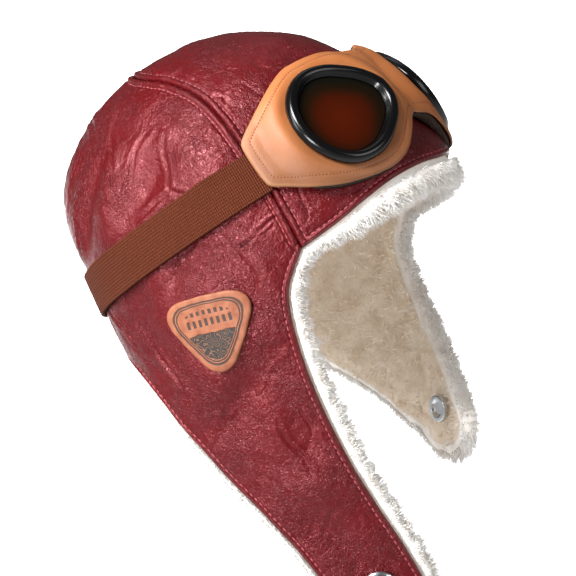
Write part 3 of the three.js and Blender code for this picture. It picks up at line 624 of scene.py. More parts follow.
def sewn(p):
    """Valleys at the seams, stitched-down allowances beside them, and the turned hem."""
    seam, hem = distance_to(SEAM_TREE, p), distance_to(EDGE_TREE, p)
    pucker = noise_at(p, 3.2, 21.0) + 0.6 * noise_at(p, 6.5, 27.0)
    rise = -1.2 * np.exp(-(seam / 0.55) ** 2) + 0.75 * np.exp(-((seam - 2.0) / 1.35) ** 2)
    rise -= 0.85 * np.exp(-((seam - STITCH_IN) / 0.65) ** 2)
    rise += 0.45 * pucker * np.exp(-((seam - 5.4) / 2.2) ** 2)
    rise += 0.25 * pucker * np.exp(-((seam - 2.2) / 1.2) ** 2)
    rise += -1.1 * np.exp(-(hem / 0.8) ** 2) + 0.35 * np.exp(-((hem - 1.6) / 0.9) ** 2)
    rise -= 0.4 * np.exp(-((hem - HEM_IN) / 0.6) ** 2) - 0.25 * pucker * np.exp(-((hem - 4.2) / 2) ** 2)
    return rise


def leather_surface(guide, lift=0.0):
    p = onto_form(guide)
    calm = np.clip(distance_to(EDGE_TREE, p) / 6, 0, 1)
    creased = np.maximum(crumple(p) + fold_shape(p, CREASES, True), DEEPEST_CREASE) * calm
    rise = fold_lift(p) + creased + sewn(p) + lift
    return p + outward(p) * rise[..., None]


PANEL_WALL = 0.0014
# the flat size is the longest run each way over the made surface, and this much more;
# the flat area is the made surface's own
FLAT_OVER_RUN = 1.03


def leather_panel(name, guides, node, material):
    surface = to_row(leather_surface(guides))
    rows, columns = surface.shape[:2]
    piece = mesh_piece(name, surface.reshape(-1, 3), grid_faces(rows, columns), material)
    middle = Vector(surface[rows // 2, columns // 2])
    nearest = min(piece.data.polygons, key=lambda f: (f.center - middle).length_squared)
    if nearest.normal.dot(middle - Vector((0, 0, -HEAD_RISE / 1000))) < 0:
        piece.data.flip_normals()
    across = np.linalg.norm(np.diff(surface, axis=1), axis=-1).sum(1).max()
    down = np.linalg.norm(np.diff(surface, axis=0), axis=-1).sum(0).max()
    area = sum(f.area for f in piece.data.polygons)
    wall = piece.modifiers.new("wall", "SOLIDIFY")
    wall.thickness = PANEL_WALL
    wall.offset = -1
    select_only(piece)
    bpy.ops.object.modifier_apply(modifier=wall.name)
    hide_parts(node)
    flat = (round(across * FLAT_OVER_RUN, 3), round(down * FLAT_OVER_RUN, 3))
    print(name, "flat", flat, "area", round(area, 4), "triangles", triangles(piece))
    return piece


# %% [markdown]
# The coat is polyurethane: specular like a plastic, a little uneven in gloss, with highlights
# tinted red. Its cracks are Voronoi cell borders on wandering coordinates, in cells of 2.8 mm and
# of 1.4 mm. They are duller than the coat and painted darker, a painted shade in the cracks,
# which breaks the highlights into a crackle.

# %% Coated leather
def coated_leather():
    material, tree = new_material("burgundy_coated_leather")
    where = add_node(tree, "ShaderNodeTexCoord").outputs["Object"]
    wander = add_node(tree, "ShaderNodeTexNoise", {"Vector": where, "Scale": 170.0, "Detail": 3.0})
    shift = add_node(tree, "ShaderNodeVectorMath", {0: wander.outputs["Color"], 1: (0.5, 0.5, 0.5)},
                     operation="SUBTRACT")
    shift = add_node(tree, "ShaderNodeVectorMath", {0: shift.outputs[0], "Scale": 0.006}, operation="SCALE")
    moved = add_node(tree, "ShaderNodeVectorMath", {0: where, 1: shift.outputs[0]},
                     operation="ADD").outputs[0]
    nets = []
    for cell_mm, width in ((2.8, 0.1), (1.4, 0.18)):
        cells = add_node(tree, "ShaderNodeTexVoronoi", {"Vector": moved, "Scale": 1000 / cell_mm},
                         feature="DISTANCE_TO_EDGE")
        nets.append(mapped(tree, cells.outputs["Distance"], 0.0, width, curve="SMOOTHSTEP"))
    patches = add_node(tree, "ShaderNodeTexNoise", {"Vector": where, "Scale": 42.0, "Detail": 2.0})
    strong = mapped(tree, patches.outputs["Fac"], 0.4, 0.62, 0.25, 1.0)
    fine = add_node(tree, "ShaderNodeTexNoise", {"Vector": moved, "Scale": 800.0, "Detail": 2.0})
    slow = add_node(tree, "ShaderNodeTexNoise", {"Vector": where, "Scale": 240.0, "Detail": 3.0})
    both = figure(tree, "MULTIPLY", nets[0], nets[1])
    cracks = figure(tree, "SUBTRACT", 1.0, both)
    cracks = figure(tree, "MULTIPLY", cracks, strong)
    height = figure(tree, "MULTIPLY", cracks, -0.22)
    height = figure(tree, "MULTIPLY_ADD", fine.outputs["Fac"], 0.4, height)
    height = figure(tree, "MULTIPLY_ADD", slow.outputs["Fac"], 0.6, height)
    bump = add_node(tree, "ShaderNodeBump", {"Strength": 1.0, "Distance": 0.0008, "Height": height})
    tone = set_ramp(add_node(tree, "ShaderNodeValToRGB", {"Fac": slow.outputs["Fac"]}), [
        (0.3, linear("#4c0408")), (0.7, linear("#54060b"))])
    # painted shade: the cracks' colour is drawn towards a near-black red
    share = figure(tree, "MULTIPLY", cracks, 0.45)
    result = blend_colour(tree, share, tone.outputs["Color"], linear("#2c0305"))
    gloss = mapped(tree, patches.outputs["Fac"], 0.3, 0.7, 0.3, 0.22)
    gloss = figure(tree, "MULTIPLY_ADD", cracks, 0.15, gloss)
    finish_material(tree, add_node(tree, "ShaderNodeBsdfPrincipled", {
        "Base Color": result, "Roughness": gloss, "IOR": 1.5, "Normal": bump.outputs["Normal"],
        "Specular IOR Level": 0.7, "Specular Tint": linear("#ffa5ab"),
    }))
    return material


leather_material = coated_leather()
crown_us, crown_vs = crowd_ends(230, 0.1), crowd_ends(130, 0.6)
side_us, side_vs = crowd_ends(200, 0.55), crowd_ends(160, 0.55)
leather_panel("leather_crown", crown_grid(crown_us, crown_vs), "crown_front_panel", leather_material)
for word, hand in HANDS.items():
    guides = side_grid(hand, side_us, side_vs)
    leather_panel(f"leather_side_{word}", guides, f"side_panel_{word}", leather_material)

# %% [markdown]
# ## The fleece
# The lining is a knit backing with a teased pile, cut a little wider than the leather so that
# it shows all along the open edge. It is built as the backing, a soft closed form between the
# panels' own grids, and then thousands of small closed tufts that lean together in clumps.

# %% Teased and flattened fleece
def teased_fleece(name, low, high, painted_glow):
    material, tree = new_material(name)
    where = add_node(tree, "ShaderNodeTexCoord").outputs["Object"]
    clumps = add_node(tree, "ShaderNodeTexNoise", {"Vector": where, "Scale": 110.0, "Detail": 4.0})
    tone = set_ramp(add_node(tree, "ShaderNodeValToRGB", {"Fac": clumps.outputs["Fac"]}), [
        (0.32, linear(low)), (0.6, linear(high))])
    curls = add_node(tree, "ShaderNodeTexNoise", {"Vector": where, "Scale": 700.0, "Detail": 5.0})
    bump = add_node(tree, "ShaderNodeBump", {
        "Strength": 0.7, "Distance": 0.0008, "Height": curls.outputs["Fac"]})
    # painted light: the fleece glows by its own tone, standing in for light scattered among its fibres
    finish_material(tree, add_node(tree, "ShaderNodeBsdfPrincipled", {
        "Base Color": tone.outputs["Color"], "Roughness": 0.95, "Normal": bump.outputs["Normal"],
        "Subsurface Weight": 0.4, "Subsurface Scale": 0.004, "Subsurface Radius": (1.0, 1.0, 1.0),
        "Emission Color": tone.outputs["Color"], "Emission Strength": painted_glow,
    }))
    return material


fleece_material = teased_fleece("off_white_teased_fleece", "#e6dfd8", "#f4f1ed", 0.08)
# painted shade: the inside of the lining is the same fleece as the edge, coloured a darker, warmer cream for
# the shade it sits in
shaded_inner_fleece = teased_fleece("cream_flattened_fleece_painted_shade", "#dccbb6", "#ebdfcf", 0.08)

# %% The backing between the leather and the head
OUTER_LIFT = -2.7
INNER_LIFT = -LEATHER_WALL - LINER_GAP - FLEECE_WALL
lining_us, lining_vs = np.linspace(0, 1, 97), np.linspace(0, 1, 73)
lining_grids = [crown_grid(np.linspace(0, 1, 193), np.linspace(0, 1, 81))]
lining_grids += [side_grid(hand, lining_us, lining_vs) for hand in (1, -1)]


def fleece_surface(guide, lift):
    p = onto_form(guide)
    lumps = 1.1 * noise_at(p, 9, 41.0) + 0.8 * noise_at(p, 4, 45.0) if lift < -5 else 0
    return p + outward(p) * (fold_lift(p) + lift + lumps)[..., None]


points, faces, count = [], [], 0
for guides in lining_grids:
    rows, columns = guides.shape[:2]
    for lift in (OUTER_LIFT, INNER_LIFT):
        points.append(to_row(fleece_surface(guides, lift)).reshape(-1, 3))
        cells = grid_faces(rows, columns, start=count)
        faces.append(cells if lift == OUTER_LIFT else cells[:, ::-1])
        count += rows * columns
lining = mesh_piece("fleece_backing", np.vstack(points), np.vstack(faces), shaded_inner_fleece)
print("backing triangles:", triangles(lining))

# %% [markdown]
# The open edge is one loop: brow, left flap, nape and right flap. The pile rolls round it, as
# wide as a finger at the brow and half that down the flaps.

# %% The edge loop, and the soft roll along it
MARGIN = {"brow": 10.5, "temple": 5.0, "flap": 6.2, "rear": 3.0}


def ease(a, b, t):
    t = np.clip(t, 0, 1)
    return a + (b - a) * t * t * (3 - 2 * t)


def edge_stations(step=1.5):
    """Guide points round the open edge, with the width of the pile at each."""
    loop, width = [], []
    share = np.linspace(-1, 1, 400)
    chart = brow_curve(np.abs(share))
    loop.append(place(-np.sign(share) * chart[:, 0], chart[:, 1]))
    width.append(ease(MARGIN["temple"], MARGIN["brow"], np.sin(math.pi * (share + 1) / 2) * 1.3))
    for hand in (-1, 1):
        s = np.linspace(0, 1, 500)
        front, rear = EDGES[hand]["front"](s), EDGES[hand]["rear"](s)
        run = [place(hand * front[1:, 0], front[1:, 1]), place(hand * rear[1:, 0], rear[1:, 1])]
        wide = [ease(MARGIN["temple"], MARGIN["flap"], s[1:] * 3),
                ease(MARGIN["flap"], MARGIN["rear"], s[1:] * 5)]
        if hand > 0:
            run, wide = [r[::-1] for r in run[::-1]], [w[::-1] for w in wide[::-1]]
        loop += run
        width += wide
    loop, width = np.vstack(loop), np.concatenate(width)
    gaps = np.linalg.norm(np.roll(loop, -1, axis=0) - loop, axis=1)
    run = np.concatenate([[0], np.cumsum(gaps)])
    stations = np.linspace(0, run[-1], int(run[-1] / step), endpoint=False)
    closed, wide = np.vstack([loop, loop[:1]]), np.append(width, width[:1])
    guide = np.stack([np.interp(stations, run, closed[:, k]) for k in range(3)], -1)
    return onto_form(guide), np.interp(stations, run, wide), stations


edge_guide, edge_width, edge_run = edge_stations()
along = unit(np.roll(edge_guide, -2, axis=0) - np.roll(edge_guide, 2, axis=0))
edge_up = outward(edge_guide)
edge_away = unit(np.cross(along, edge_up))
edge_base = edge_guide + edge_up * fold_lift(edge_guide)[:, None]
print("edge length, mm:", round(edge_run[-1], 1))

# %% [markdown]
# A roll like this could be a bevelled curve, but its width changes all the way round. Here one
# section is laid at every station and scaled to the width there.

# %% The roll's section, swept round the loop
SECTION = [(0.2, -2.7), (0.4, -0.9), (0.3, 0.1), (0.62, -0.5), (0.86, -2.6), (0.92, -4.6), (0.72, -7.2),
           (0.35, -8.6), (-0.25, -9.0), (-0.3, -5.5)]
# each pair: out from the edge as a share of the pile's width, and up from the leather, mm


def roll_section(samples=22):
    pts = np.array(SECTION + SECTION[:1], float)
    return smooth_curve(pts)(np.linspace(0, 1, samples, endpoint=False))


section = roll_section()
swell = 0.12 * np.array([noise.noise(Vector((r / 7, 3.3, 0))) for r in edge_run])
swell = 1 + 0.1 * np.sin(edge_run * 0.55) + swell
rolls = np.stack([
    edge_base + edge_away * (out * edge_width * swell)[:, None] + edge_up * lift for out, lift in section
])
stations = len(edge_guide)
first, last = np.arange(stations), (len(section) - 1) * stations
follow = (first + 1) % stations
closing_faces = np.stack([last + first, last + follow, follow, first], -1)
roll = mesh_piece("fleece_edge_roll", to_row(rolls).reshape(-1, 3),
                  np.vstack([grid_faces(len(section), stations, closed=True), closing_faces]),
                  fleece_material)
face_out(roll)
print("roll triangles:", triangles(roll))

# %% [markdown]
# A tuft is a small bent cone. It is worked out once and laid over many roots at a time. Tips
# near each other are pulled to a shared point, which is what makes fleece clump.

# %% Tufts
rng = np.random.default_rng(7)


def lay_tufts(name, roots, heading, length, thickness, clump, pull, material):
    """Closed three-sided spikes from roots along headings, with tips drawn to clump points."""
    heading = unit(heading)
    tips = roots + heading * length[:, None]
    cells = np.floor(tips / clump + 0.35 * np.sin(tips[:, [1, 2, 0]] / clump * 2.1)).astype(int)
    _, group = np.unique(cells, axis=0, return_inverse=True)
    group = group.reshape(-1)
    centre = np.stack([np.bincount(group, tips[:, k]) for k in range(3)], -1) / np.bincount(group)[:, None]
    tips = tips + (centre[group] - tips) * pull[:, None]
    side = unit(np.cross(heading, rng.normal(size=heading.shape)))
    other = np.cross(heading, side)
    bend = side * (0.18 * length * rng.normal(size=len(roots)))[:, None]
    rings = []
    for share, thick in ((0.0, 1.0), (0.55, 0.62)):
        centre_line = roots + (tips - roots) * share + bend * (4 * share * (1 - share))
        for corner in range(3):
            angle = corner * 2 * math.pi / 3
            spoke = side * math.cos(angle) + other * math.sin(angle)
            rings.append(centre_line + spoke * (thickness * thick)[:, None])
    corners = np.stack([*rings, tips], 1)
    pattern = [(2, 1, 0)]
    pattern += [f for k in range(3) for f in ((k, (k + 1) % 3, 3 + (k + 1) % 3), (k, 3 + (k + 1) % 3, 3 + k))]
    pattern += [(3 + k, 3 + (k + 1) % 3, 6) for k in range(3)]
    faces = (np.arange(len(roots))[:, None, None] * 7 + np.array(pattern)[None]).reshape(-1, 3)
    piece = mesh_piece(name, to_row(corners.reshape(-1, 3)), faces, material, merge=0)
    face_out(piece)
    print(name, "tufts:", len(roots), "triangles:", triangles(piece))
    return piece


def edge_tufts(count=19500):
    station = rng.random(count) * len(edge_guide)
    i = station.astype(int) % len(edge_guide)
    part = 0.06 + 0.86 * rng.random(count) ** 0.9
    outline = smooth_curve(np.array(SECTION[:9], float))(part)
    slope = smooth_curve(np.array(SECTION[:9], float))(np.clip(part + 0.02, 0, 1)) - outline
    width = (edge_width * swell)[i]
    jitter = along[i] * ((station % 1 - 0.5) * 1.5)[:, None]
    root = edge_base[i] + jitter + edge_away[i] * (outline[:, 0] * width)[:, None]
    root = root + edge_up[i] * (outline[:, 1] - 0.3)[:, None]
    normal = unit(edge_away[i] * (-slope[:, 1])[:, None] + edge_up[i] * (slope[:, 0] * width)[:, None])
    tip_side = np.clip((part - 0.15) / 0.3, 0, 1) * np.clip((1.0 - part) / 0.25, 0.3, 1)
    drift = np.array([noise.noise(Vector((r / 6, 8.1, 0))) for r in edge_run])[i]
    heading = normal * 0.75 + edge_away[i] * (0.25 + 0.9 * tip_side)[:, None]
    heading = heading + along[i] * (0.9 * drift)[:, None]
    heading = heading + rng.normal(size=heading.shape) * 0.25
    long = ease(2.6, 4.6, (width - 4) / 6)
    length = (1.0 + tip_side * long) * (0.65 + 0.7 * rng.random(count))
    thickness = 0.24 + 0.16 * rng.random(count)
    return lay_tufts("fleece_edge_tufts", root, heading, length, thickness, 2.6,
                     0.2 + 0.4 * rng.random(count), fleece_material)


def inner_tufts(count=19500):
    roots, normals = [], []
    for guides in lining_grids:
        surface = fleece_surface(guides, INNER_LIFT)
        a, b, c, d = surface[:-1, :-1], surface[:-1, 1:], surface[1:, 1:], surface[1:, :-1]
        area = np.linalg.norm(np.cross(c - a, d - b), axis=-1).reshape(-1) / 2
        share = int(count * (0.34 if len(roots) == 0 else 0.33))
        pick = rng.choice(len(area), share, p=area / area.sum())
        u, v = rng.random((2, share, 1))
        a, b, c, d = (q.reshape(-1, 3)[pick] for q in (a, b, c, d))
        root = a * (1 - u) * (1 - v) + b * u * (1 - v) + c * u * v + d * (1 - u) * v
        roots.append(root)
        normals.append(-outward(root))
    root, normal = np.vstack(roots), np.vstack(normals)
    swirl = np.stack([noise_at(root, 14, 60.0 + k) for k in range(3)], -1)
    heading = normal * 0.9 + swirl * 1.5 + np.array([0, 0, -0.2]) + rng.normal(size=root.shape) * 0.3
    count = len(root)
    length = 3.2 * (0.6 + 0.7 * rng.random(count))
    thickness = 0.45 + 0.25 * rng.random(count)
    pile = lay_tufts("fleece_inner_tufts", root - normal * 0.4, heading, length, thickness, 3.5,
                     0.3 + 0.4 * rng.random(count), shaded_inner_fleece)
    pile.data.polygons.foreach_set("use_smooth", [False] * len(pile.data.polygons))
    return pile


edge_tufts()
inner_tufts()
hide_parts("fleece_lining")

# %% [markdown]
# ## The goggles
# The mask is 2 mm vegetable-tanned cowhide, die-cut and bevelled, over a dark felt pad. It is
# drawn on a chart of its own, tilted up 51 degrees, and is flat only under the two rims.

# %% The goggles' chart, as on the solids
MASK_TILT = math.radians(50.8)
MASK_HALF_SPAN, MASK_HALF_HEIGHT = 101.0, 37.0
LENS_OFFSET, RIM_RADIUS, RIM_WIDTH, RIM_HEIGHT, RIM_SEAT = 43.0, 28.0, 6.8, 5.5, 4.5
BEDDING_GAP, FELT_WALL, LAYER_GAP, MASK_WALL, SEAT_GAP = 0.5, 1.7, 1.1, 2.0, 0.3
MASK_UNDER = BEDDING_GAP + FELT_WALL + LAYER_GAP
MASK_OVER = MASK_UNDER + MASK_WALL
CHART_RADIUS = (HALF_DEPTH + RISE) / 2
ahead = np.array([0, -math.cos(MASK_TILT), math.sin(MASK_TILT)])
upward = np.array([0, math.sin(MASK_TILT), math.cos(MASK_TILT)])


def on_chart(across, up):
    turn_by, climb = np.asarray(across) / CHART_RADIUS, np.asarray(up) / CHART_RADIUS
    out = ahead * (np.cos(turn_by) * np.cos(climb))[..., None] + upward * np.sin(climb)[..., None]
    out[..., 0] -= np.sin(turn_by) * np.cos(climb)
    return out


def lens_frame(hand):
    centre = onto_form(on_chart(np.array(hand * LENS_OFFSET), np.array(0.0)))
    normal = outward(centre)
    side = unit(np.cross(upward, normal))
    return {"centre": centre, "normal": normal, "side": side * hand, "up": np.cross(normal, side)}


LENS = {hand: lens_frame(hand) for hand in (1, -1)}
RIM_ROWS = np.array([
    (0, 1.062), (22, 0.985), (45, 0.935), (67, 0.958), (98, 1.016), (135, 1.02), (172, 1.009),
    (200, 1.015), (235, 1.035), (262, 0.988), (300, 0.943), (340, 1.045), (360, 1.062),
])
MASK_ROWS = [(0, 0.72), (0.087, 0.771), (0.189, 0.894), (0.289, 0.974), (0.388, 1.035), (0.448, 1.067),
             (0.554, 1.036), (0.669, 0.959), (0.776, 0.875), (0.915, 0.74), (0.938, 0.68), (0.996, -0.02),
             (0.986, -0.11), (0.922, -0.302), (0.809, -0.61), (0.714, -0.801), (0.597, -0.931),
             (0.479, -1.002), (0.387, -1.012), (0.283, -0.941), (0.181, -0.769), (0.083, -0.586), (0, -0.5)]
mask_outline = smooth_curve([(a * MASK_HALF_SPAN, u * MASK_HALF_HEIGHT) for a, u in MASK_ROWS])


def rim_reach(angle_deg):
    return RIM_RADIUS * read_table(RIM_ROWS[:, 0].astype(float), RIM_ROWS[:, 1], np.mod(angle_deg, 360))


def in_lens_plane(lens, angle_deg, reach, height):
    angle = np.radians(angle_deg)
    flat = lens["side"] * (reach * np.cos(angle))[..., None] + lens["up"] * (reach * np.sin(angle))[..., None]
    return lens["centre"] + flat + lens["normal"] * np.asarray(height)[..., None]


def on_mask(guide, lift, lens, flat=True):
    p = onto_form(guide)
    lifted = p + outward(p) * lift[..., None]
    if not flat:
        return lifted
    away = lifted - lens["centre"]
    height = away @ lens["normal"]
    reach = np.sqrt(np.maximum((away ** 2).sum(-1) - height ** 2, 0))
    share = 1 - ease(0, 1, (reach - RIM_RADIUS * 1.1) / (RIM_RADIUS * 0.4))
    return lifted + lens["normal"] * ((lift - height) * share)[..., None]


print("lens centres:", LENS[1]["centre"].round(1), LENS[-1]["centre"].round(1))

# %% [markdown]
# Leather and felt are each a flat cut with two holes, bent to the head. Cutting holes into a bent
# sheet leaves ragged faces, so each half is strips from its lens hole out to the outline.

# %% One layer of the goggles
def goggle_layer(name, under, over, material, limit=1.0, flat_under=True, detail=None,
                 rays=170, closing=16, rows=26):
    """Both halves of a layer: strips from each lens hole to the outline, sewn on the middle."""
    pieces, faces, count = [], [], 0
    outline = mask_outline(np.linspace(0, 1, rays - closing + 1))
    low, high = outline[-1], outline[0]
    joined = low + (high - low) * (np.arange(1, closing) / closing)[:, None]
    outline = np.vstack([outline, joined])
    free = rays - closing + 1
    share = np.linspace(0, 1, rows + 1)
    share = 1 - (1 - share) ** 1.35
    for hand in (1, -1):
        lens = LENS[hand]
        x, y = outline[:, 0], outline[:, 1]
        reach = limit * MASK_HALF_SPAN
        cut = np.where(x > reach, (reach - LENS_OFFSET) / np.maximum(x - LENS_OFFSET, 1), 1)
        end = onto_form(on_chart(hand * (LENS_OFFSET + (x - LENS_OFFSET) * cut), y * cut))
        seen = end - lens["centre"]
        angle = np.degrees(np.arctan2(seen @ lens["up"], seen @ lens["side"]))
        start = in_lens_plane(lens, angle, rim_reach(angle) - RIM_SEAT, np.zeros(len(angle)))
        guide = start[None] + (end - start)[None] * share[:, None, None]
        edge = tree_of(onto_form(end[:free]))
        from_edge = distance_to(edge, onto_form(guide))
        extra = detail(from_edge, guide) if detail else 0
        lift_over = over + extra - 0.8 * (1 - np.sqrt(1 - (1 - np.clip(from_edge / 1.3, 0, 1)) ** 2))
        lift_under = np.full_like(lift_over, under)
        top = on_mask(guide, lift_over, lens)
        bottom = on_mask(guide, lift_under, lens, flat_under)
        middle = np.zeros(len(outline), bool)
        middle[outline[:, 0] < 0.01] = True
        top[-1, middle, 0] = 0
        bottom[-1, middle, 0] = 0
        n = len(outline)
        flip = (lambda f: f) if hand > 0 else (lambda f: f[:, ::-1])
        pieces += [top.reshape(-1, 3), bottom.reshape(-1, 3)]
        faces.append(flip(grid_faces(rows + 1, n, closed=True, start=count)))
        second = count + (rows + 1) * n
        faces.append(flip(grid_faces(rows + 1, n, closed=True, start=second)[:, ::-1]))
        i = np.arange(n)
        faces.append(flip(np.stack([second + i, second + (i + 1) % n, count + (i + 1) % n, count + i], -1)))
        i = np.arange(free - 1)
        a, b = count + rows * n, second + rows * n
        faces.append(flip(np.stack([a + i, a + i + 1, b + i + 1, b + i], -1)))
        count += 2 * (rows + 1) * n
    piece = mesh_piece(name, to_row(np.vstack(pieces)), np.vstack(faces), material, merge=1e-5)
    face_out(piece)
    print(name, "triangles:", triangles(piece))
    return piece


# %% [markdown]
# Vegetable-tanned cowhide is nearly matt, warm tan, with pores under a millimetre and a faint
# cloudiness. It deepens to orange towards the top, and its cut edge is paler. The pad is a dark
# needled felt.

# %% Tan leather and felt
def tan_cowhide():
    material, tree = new_material("tan_tanned_cowhide")
    where = add_node(tree, "ShaderNodeTexCoord").outputs["Object"]
    cloud = add_node(tree, "ShaderNodeTexNoise", {"Vector": where, "Scale": 60.0, "Detail": 5.0})
    light = set_ramp(add_node(tree, "ShaderNodeValToRGB", {"Fac": cloud.outputs["Fac"]}), [
        (0.3, linear("#693f23")), (0.7, linear("#754a2d"))])
    deep = set_ramp(add_node(tree, "ShaderNodeValToRGB", {"Fac": cloud.outputs["Fac"]}), [
        (0.3, linear("#9c5a2e")), (0.7, linear("#aa693b"))])
    level = add_node(tree, "ShaderNodeSeparateXYZ", {"Vector": where}).outputs["Z"]
    # the colour changes with height: darker brown lower down, brighter orange towards the top
    toward_top = mapped(tree, level, -0.062, -0.016, curve="SMOOTHSTEP")
    body = blend_colour(tree, toward_top, light.outputs["Color"], deep.outputs["Color"])
    from_edge = add_node(tree, "ShaderNodeAttribute", attribute_name="from_edge_mm").outputs["Fac"]
    bevel = mapped(tree, from_edge, 0.5, 1.6, 0.3, 0.0)
    tone = blend_colour(tree, bevel, body, linear("#ab7c57"))
    pores = add_node(tree, "ShaderNodeTexVoronoi", {"Vector": where, "Scale": 1000 / 0.9},
                     feature="DISTANCE_TO_EDGE")
    grain = add_node(tree, "ShaderNodeTexNoise", {"Vector": where, "Scale": 650.0, "Detail": 5.0})
    height = figure(tree, "MULTIPLY_ADD", pores.outputs["Distance"], 0.8, grain.outputs["Fac"])
    bump = add_node(tree, "ShaderNodeBump", {"Strength": 0.3, "Distance": 0.0003, "Height": height})
    finish_material(tree, add_node(tree, "ShaderNodeBsdfPrincipled", {
        "Base Color": tone, "Roughness": 0.5, "Normal": bump.outputs["Normal"],
        "Specular IOR Level": 0.4,
    }))
    return material


def dark_felt():
    material, tree = new_material("dark_needled_felt")
    where = add_node(tree, "ShaderNodeTexCoord").outputs["Object"]
    fibres = add_node(tree, "ShaderNodeTexNoise", {"Vector": where, "Scale": 900.0, "Detail": 6.0})
    tone = set_ramp(add_node(tree, "ShaderNodeValToRGB", {"Fac": fibres.outputs["Fac"]}), [
        (0.3, linear("#2a211d")), (0.7, linear("#4a3d36"))])
    bump = add_node(tree, "ShaderNodeBump", {
        "Strength": 0.6, "Distance": 0.0006, "Height": fibres.outputs["Fac"]})
    finish_material(tree, add_node(tree, "ShaderNodeBsdfPrincipled", {
        "Base Color": tone.outputs["Color"], "Roughness": 1.0, "Normal": bump.outputs["Normal"],
        "Specular IOR Level": 0.1,
    }))
    return material


tan_material = tan_cowhide()
felt_material = dark_felt()
STITCH_LINE = 4.2


def mask_relief(from_edge, guide):
    p = onto_form(guide)
    groove = -0.3 * np.exp(-((from_edge - STITCH_LINE) / 0.55) ** 2)
    swell_up = 0.35 * np.exp(-((from_edge - 8) / 3.5) ** 2)
    outer = np.clip(1 - from_edge / STITCH_LINE, 0, 1) * -0.7
    return groove + swell_up + outer + 0.12 * noise_at(p, 16, 71.0)


mask = goggle_layer("goggle_mask_leather", MASK_UNDER, MASK_OVER, tan_material,
                    detail=mask_relief)
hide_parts("goggle_mask")
ends = mask_outline(np.linspace(0, 1, 900))
MASK_EDGE_TREE = tree_of(np.vstack([onto_form(on_chart(hand * ends[:, 0], ends[:, 1])) for hand in (1, -1)]))
mask_points = np.array([v.co for v in mask.data.vertices]) * 1000 + np.array([0, 0, HEAD_RISE])
edge_share = mask.data.attributes.new("from_edge_mm", "FLOAT", "POINT")
edge_share.data.foreach_set("value", distance_to(MASK_EDGE_TREE, onto_form(mask_points)))
pad = goggle_layer("goggle_felt_pad", BEDDING_GAP, MASK_UNDER - LAYER_GAP, felt_material,
                   limit=0.83, flat_under=False, rays=120, rows=12)
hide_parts("mask_padding")

# %% [markdown]
# The rims are injection-moulded in glossy black. A rim starts as a circle of section points,
# spun into a ring, and is then drawn to the rounded outline of a lens.

# %% Rims
def black_plastic():
    material, tree = new_material("glossy_black_moulded_plastic")
    where = add_node(tree, "ShaderNodeTexCoord").outputs["Object"]
    wave = add_node(tree, "ShaderNodeTexNoise", {"Vector": where, "Scale": 90.0, "Detail": 2.0})
    bump = add_node(tree, "ShaderNodeBump", {
        "Strength": 0.08, "Distance": 0.001, "Height": wave.outputs["Fac"]})
    finish_material(tree, add_node(tree, "ShaderNodeBsdfPrincipled", {
        "Base Color": linear("#050506"), "Roughness": 0.2, "Normal": bump.outputs["Normal"],
        "Specular IOR Level": 0.35,
    }))
    return material


def lens_plastic():
    material, tree = new_material("smoked_amber_acrylic_painted_light")
    where = add_node(tree, "ShaderNodeUVMap").outputs[0]
    centred = add_node(tree, "ShaderNodeVectorMath", {0: where, 1: (0.5, 0.5, 0.0)}, operation="SUBTRACT")
    away = add_node(tree, "ShaderNodeVectorMath", {0: centred.outputs[0], 1: (0.07, 0.09, 0.0)},
                    operation="ADD")
    far = add_node(tree, "ShaderNodeVectorMath", {0: away.outputs[0]}, operation="LENGTH").outputs["Value"]
    # painted light: an orange glow a little off centre for light through the lens, going to near black by the
    # rim as painted shade
    tone = set_ramp(add_node(tree, "ShaderNodeValToRGB", {"Fac": far}), [
        (0.05, linear("#3c0e01")), (0.3, linear("#310b01")),
        (0.44, linear("#160a02")), (0.56, linear("#0a0904"))])
    finish_material(tree, add_node(tree, "ShaderNodeBsdfPrincipled", {
        "Base Color": tone.outputs["Color"], "Roughness": 0.1, "IOR": 1.49, "Specular IOR Level": 0.2,
    }))
    return material


rim_material, lens_material = black_plastic(), lens_plastic()
RIM_SECTION = [(0.0, 0.0), (-0.02, 0.3), (0.03, 0.55), (0.12, 0.78), (0.26, 0.94), (0.42, 1.0), (0.58, 0.97),
               (0.72, 0.86), (0.8, 0.72), (0.86, 0.6), (0.95, 0.5), (1.0, 0.38), (1.0, 0.0)]


